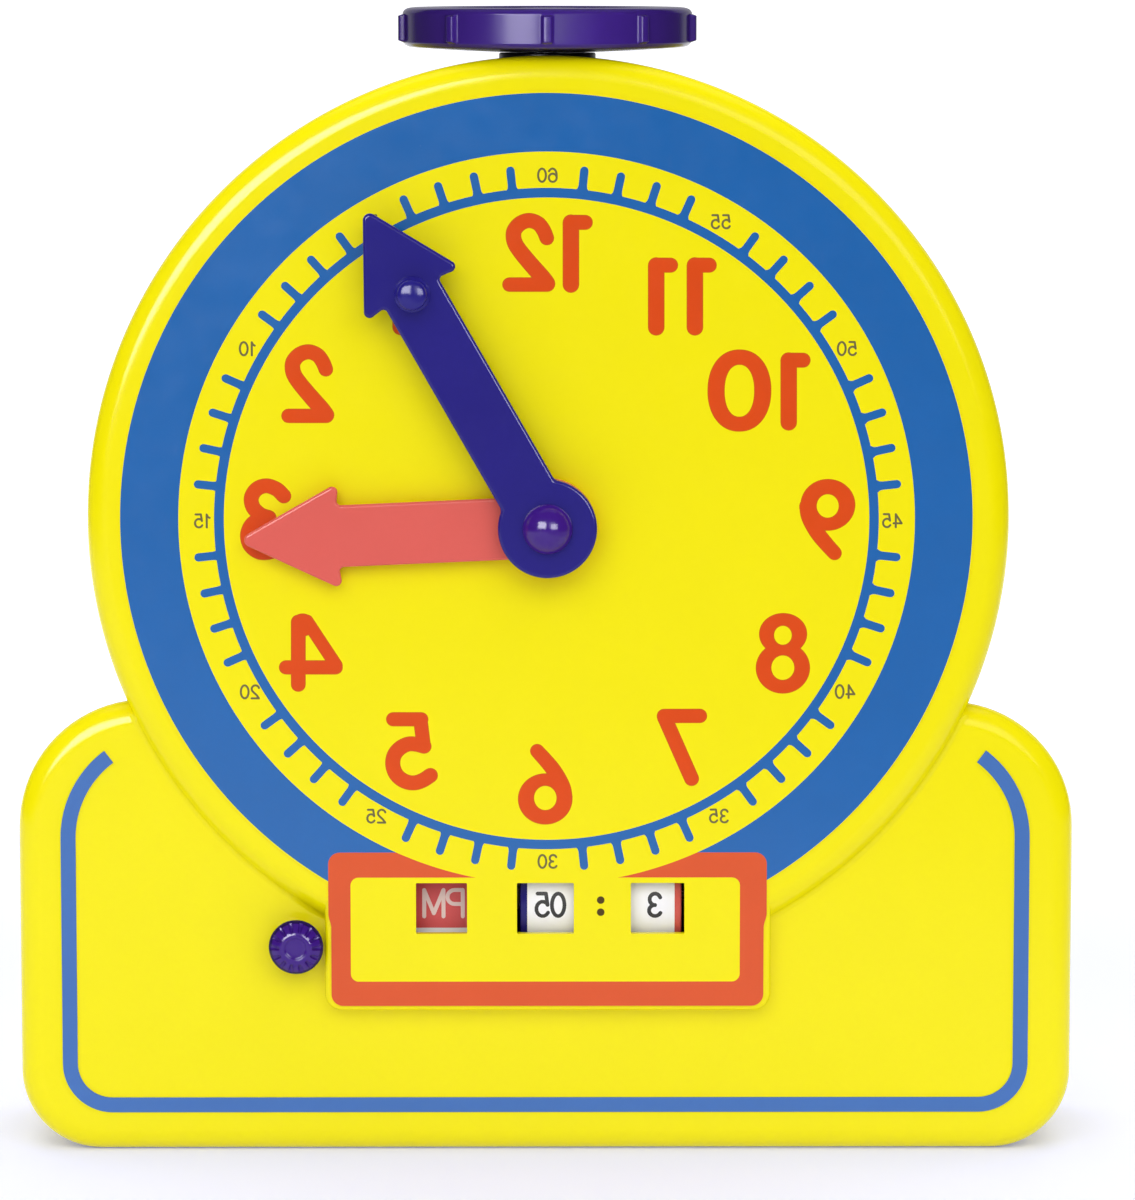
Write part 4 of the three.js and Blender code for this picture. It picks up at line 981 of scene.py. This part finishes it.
# ------------------------------------------------------------------ the inner nodes keep their CAD shape
FINISH = {"steel": STEEL, "brass": BRASS, "gear_plastic": NATURAL, "black_plastic": BLACK, "purple_plastic": PURPLE, "coral_plastic": CORAL,
          "yellow_plastic": YELLOW, "printed_label": DRUM_WHITE, "number_print": DRUM_WHITE, "blue_print": STRIPE}
NODE_FINISH = {
    "drive_shaft": STEEL, "shaft_clip": STEEL, "motion_stud": STEEL, "idler_stud": STEEL, "drum_axle": STEEL, "cross_shaft": STEEL,
    "minute_arbor": BRASS, "arbor_bridge": BLACK, "drum_frame": BLACK, "half_day_spindle": BLACK,
}
for name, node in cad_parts.items():
    if "screw" in name:
        m = STEEL
    elif "gear" in name or "pinion" in name or name == "hour_wheel":
        m = NATURAL
    else:
        m = NODE_FINISH.get(name)
    if m is None:
        continue
    if not node.material_slots:
        node.data.materials.append(m)
    for s in node.material_slots:
        s.material = m

# ------------------------------------------------------------------ studio
def stage_material(name, white, fade=True):
    m = bpy.data.materials.new(name)
    m.use_nodes = True
    nt = m.node_tree
    nodes, link = nt.nodes, nt.links.new
    bsdf = next(n for n in nodes if n.type == "BSDF_PRINCIPLED")
    tc = nodes.new("ShaderNodeTexCoord")
    n = nodes.new("ShaderNodeTexNoise")
    n.inputs["Scale"].default_value = 9.0
    link(tc.outputs["Object"], n.inputs["Vector"])
    mix = nodes.new("ShaderNodeMix")
    mix.data_type = "RGBA"
    link(n.outputs["Fac"], mix.inputs[0])
    mix.inputs[6].default_value = (white * 0.97, white * 0.98, white * 1.02, 1)
    mix.inputs[7].default_value = (white * 0.98, white * 0.99, white * 1.03, 1)
    col = mix.outputs[2]
    sep = nodes.new("ShaderNodeSeparateXYZ")
    link(tc.outputs["Object"], sep.inputs[0])
    # painted shade: the paper's colour is darkened towards the front of the studio, as if its light fell off there
    fall = nodes.new("ShaderNodeMapRange")
    fall.interpolation_type = "SMOOTHSTEP"
    fall.inputs["From Min"].default_value, fall.inputs["From Max"].default_value = -1.05, -0.5
    fall.inputs["To Min"].default_value, fall.inputs["To Max"].default_value = 0.4, 1.0
    slant = nodes.new("ShaderNodeMath")
    slant.operation = "MULTIPLY_ADD"
    link(sep.outputs["X"], slant.inputs[0])
    slant.inputs[1].default_value = -1.5
    link(sep.outputs["Y"], slant.inputs[2])
    link(slant.outputs[0], fall.inputs["Value"])
    # and painted shade to both sides of what the camera sees of it
    wide = nodes.new("ShaderNodeMath")
    wide.operation = "ABSOLUTE"
    link(sep.outputs["X"], wide.inputs[0])
    cone = nodes.new("ShaderNodeMath")
    cone.operation = "MULTIPLY_ADD"
    link(sep.outputs["Y"], cone.inputs[0])
    cone.inputs[1].default_value, cone.inputs[2].default_value = 0.12, 0.19
    inside = nodes.new("ShaderNodeMath")
    inside.operation = "SUBTRACT"
    link(cone.outputs[0], inside.inputs[0])
    link(wide.outputs[0], inside.inputs[1])
    sides = nodes.new("ShaderNodeMapRange")
    sides.interpolation_type = "SMOOTHSTEP"
    sides.inputs["From Min"].default_value, sides.inputs["From Max"].default_value = -1.5, -0.5
    sides.inputs["To Min"].default_value, sides.inputs["To Max"].default_value = 0.12, 1.0
    link(inside.outputs[0], sides.inputs["Value"])
    both = nodes.new("ShaderNodeMath")
    both.operation = "MULTIPLY"
    link(fall.outputs["Result"], both.inputs[0])
    link(sides.outputs["Result"], both.inputs[1])
    dim = nodes.new("ShaderNodeMix")
    dim.data_type = "RGBA"
    dim.blend_type = "MULTIPLY"
    dim.inputs[0].default_value = 1.0
    link(col, dim.inputs[6])
    link(both.outputs[0], dim.inputs[7])
    link(dim.outputs[2], bsdf.inputs["Base Color"])
    bsdf.inputs["Roughness"].default_value = 0.8
    bsdf.inputs["Specular IOR Level"].default_value = 0.0
    # painted glow: the paper emits light away from the object, so that it shows bright there
    length = nodes.new("ShaderNodeVectorMath")
    length.operation = "LENGTH"
    link(tc.outputs["Object"], length.inputs[0])
    glow = nodes.new("ShaderNodeMapRange")
    glow.interpolation_type = "SMOOTHSTEP"
    glow.inputs["From Min"].default_value, glow.inputs["From Max"].default_value = 0.25, 1.1
    glow.inputs["To Min"].default_value, glow.inputs["To Max"].default_value = 0.0, 0.5
    link(length.outputs["Value"], glow.inputs["Value"])
    g2 = nodes.new("ShaderNodeMath")
    g2.operation = "MULTIPLY"
    link(glow.outputs["Result"], g2.inputs[0])
    f2 = nodes.new("ShaderNodeMapRange")
    f2.interpolation_type = "SMOOTHSTEP"
    f2.inputs["From Min"].default_value, f2.inputs["From Max"].default_value = -0.8, -0.1
    link(sep.outputs["Y"], f2.inputs["Value"])
    g3 = nodes.new("ShaderNodeMath")
    g3.operation = "MULTIPLY"
    link(f2.outputs["Result"], g3.inputs[0])
    link(sides.outputs["Result"], g3.inputs[1])
    link(g3.outputs[0], g2.inputs[1])
    # and close to the object the paper has a painted cool glow of its own, emission in place of a lamp, which takes the
    # yellow cast off the paper
    near = nodes.new("ShaderNodeMapRange")
    near.interpolation_type = "SMOOTHSTEP"
    near.inputs["From Min"].default_value, near.inputs["From Max"].default_value = 0.1, 0.75
    near.inputs["To Min"].default_value, near.inputs["To Max"].default_value = 1.0, 0.0
    link(length.outputs["Value"], near.inputs["Value"])
    cool = nodes.new("ShaderNodeVectorMath")
    cool.operation = "SCALE"
    cool.inputs[0].default_value = (0.08, 0.095, 0.31)
    front_part = nodes.new("ShaderNodeMapRange")
    front_part.interpolation_type = "SMOOTHSTEP"
    front_part.inputs["From Min"].default_value, front_part.inputs["From Max"].default_value = -0.16, -0.045
    front_part.inputs["To Min"].default_value, front_part.inputs["To Max"].default_value = 0.45, 1.0
    link(sep.outputs["Y"], front_part.inputs["Value"])
    amount = nodes.new("ShaderNodeMath")
    amount.operation = "MULTIPLY"
    link(near.outputs["Result"], amount.inputs[0])
    link(front_part.outputs["Result"], amount.inputs[1])
    link(amount.outputs[0], cool.inputs["Scale"])
    total = nodes.new("ShaderNodeVectorMath")
    total.operation = "ADD"
    link(cool.outputs[0], total.inputs[0])
    link(g2.outputs[0], total.inputs[1])
    link(total.outputs[0], bsdf.inputs["Emission Color"])
    bsdf.inputs["Emission Strength"].default_value = 1.0
    return m


FLOOR_HALF = 60.0
floor_me = bpy.data.meshes.new("floor")
nx = 24
fv, ff = [], []
for j in range(nx + 1):
    for i in range(nx + 1):
        fv.append((FLOOR_HALF * (2 * i / nx - 1), FLOOR_HALF * (2 * j / nx - 1), 0.0))
for j in range(nx):
    for i in range(nx):
        a = j * (nx + 1) + i
        ff.append((a, a + 1, a + nx + 2, a + nx + 1))
floor_me.from_pydata(fv, [], ff)
floor_me.materials.append(stage_material("paper_floor", 0.85))
floor = bpy.data.objects.new("floor", floor_me)
scene.collection.objects.link(floor)


def softbox(name, az, el, distance, width, height, radiance, target=(0.0, -0.03, 0.17), diffuse=True, glossy=True, colour=(1, 1, 1)):
    """A flat lamp; az is to the right of straight in front, el above the floor. The lamps that shape the highlights and those
    that light the colours are kept apart, as with a diffuser close to the object."""
    a, e = math.radians(az), math.radians(el)
    d = Vector((math.sin(a) * math.cos(e), -math.cos(a) * math.cos(e), math.sin(e)))
    light = bpy.data.lights.new(name, "AREA")
    light.shape, light.size, light.size_y, light.color = "RECTANGLE", width, height, colour
    light.energy = radiance * math.pi * width * height
    o = bpy.data.objects.new(name, light)
    scene.collection.objects.link(o)
    o.location = Vector(target) + d * distance
    o.rotation_mode = "QUATERNION"
    o.rotation_quaternion = (-d).to_track_quat("-Z", "Y")
    o.visible_camera = False
    o.visible_diffuse, o.visible_glossy = diffuse, glossy
    return o


softbox("gloss_left", -25, 20.5, 1.7, 1.06, 0.84, 18.0, diffuse=False)
softbox("gloss_right", 22, 20.5, 1.7, 0.85, 0.84, 2.6, diffuse=False)
softbox("gloss_top", 0, 104, 1.8, 2.0, 1.1, 0.5, diffuse=False)
softbox("gloss_back", 180, 12, 1.6, 3.2, 1.5, 0.5, diffuse=False)
top_lit = bpy.data.collections.new("top_wheel_only")  # two small lamps that light only the top wheel
top_lit.objects.link(wheel)
front_lit = bpy.data.collections.new("hands_and_knob_only")  # and one that only shows as a gleam on the hands and the knob
for o in (minute, hour, cap, knob):
    front_lit.objects.link(o)
softbox("gloss_hands", 30, 14, 1.5, 0.75, 0.6, 12.0, diffuse=False).light_linking.receiver_collection = front_lit
for lamp in (softbox("gloss_wheel", -21, 0, 0.365, 0.15, 0.06, 13.0, target=(0.0, -0.014, 0.322), diffuse=False),
             softbox("fill_wheel", 3, 4, 0.18, 0.07, 0.05, 52.0, target=(0.0, -0.014, 0.322), glossy=False)):
    lamp.light_linking.receiver_collection = top_lit
softbox("fill_left", -18, 32, 1.9, 1.3, 1.3, 1.78, glossy=False)
softbox("fill_right", 26, 30, 1.9, 1.2, 1.2, 1.45, glossy=False)
softbox("fill_top", 0, 100, 2.0, 2.2, 1.4, 1.3, glossy=False)

world = bpy.data.worlds.new("studio") if scene.world is None else scene.world
scene.world = world
world.use_nodes = True
wn, wl = world.node_tree.nodes, world.node_tree.links.new
bg = next(n for n in wn if n.type == "BACKGROUND")
tc = wn.new("ShaderNodeTexCoord")
sep = wn.new("ShaderNodeSeparateXYZ")
wl(tc.outputs["Generated"], sep.inputs[0])
side = wn.new("ShaderNodeMapRange")
side.interpolation_type = "SMOOTHSTEP"
side.inputs["From Min"].default_value, side.inputs["From Max"].default_value = -0.5, 0.7
side.inputs["To Min"].default_value, side.inputs["To Max"].default_value = 0.7, 1.06
wl(sep.outputs["Y"], side.inputs["Value"])
across = wn.new("ShaderNodeMath")  # less from the two sides
across.operation = "MULTIPLY"
wl(sep.outputs["X"], across.inputs[0])
wl(sep.outputs["X"], across.inputs[1])
keep_up = wn.new("ShaderNodeMapRange")
keep_up.inputs["To Min"].default_value, keep_up.inputs["To Max"].default_value = 1.0, 0.6
wl(across.outputs[0], keep_up.inputs["Value"])
strength = wn.new("ShaderNodeMath")
strength.operation = "MULTIPLY"
wl(side.outputs["Result"], strength.inputs[0])
wl(keep_up.outputs["Result"], strength.inputs[1])
wl(strength.outputs[0], bg.inputs["Strength"])
bg.inputs["Color"].default_value = (1, 1, 1, 1)
world.cycles_visibility.glossy = False
scene.view_settings.view_transform = "Standard"
scene.view_settings.look = "None"
scene.view_settings.exposure = 0.0
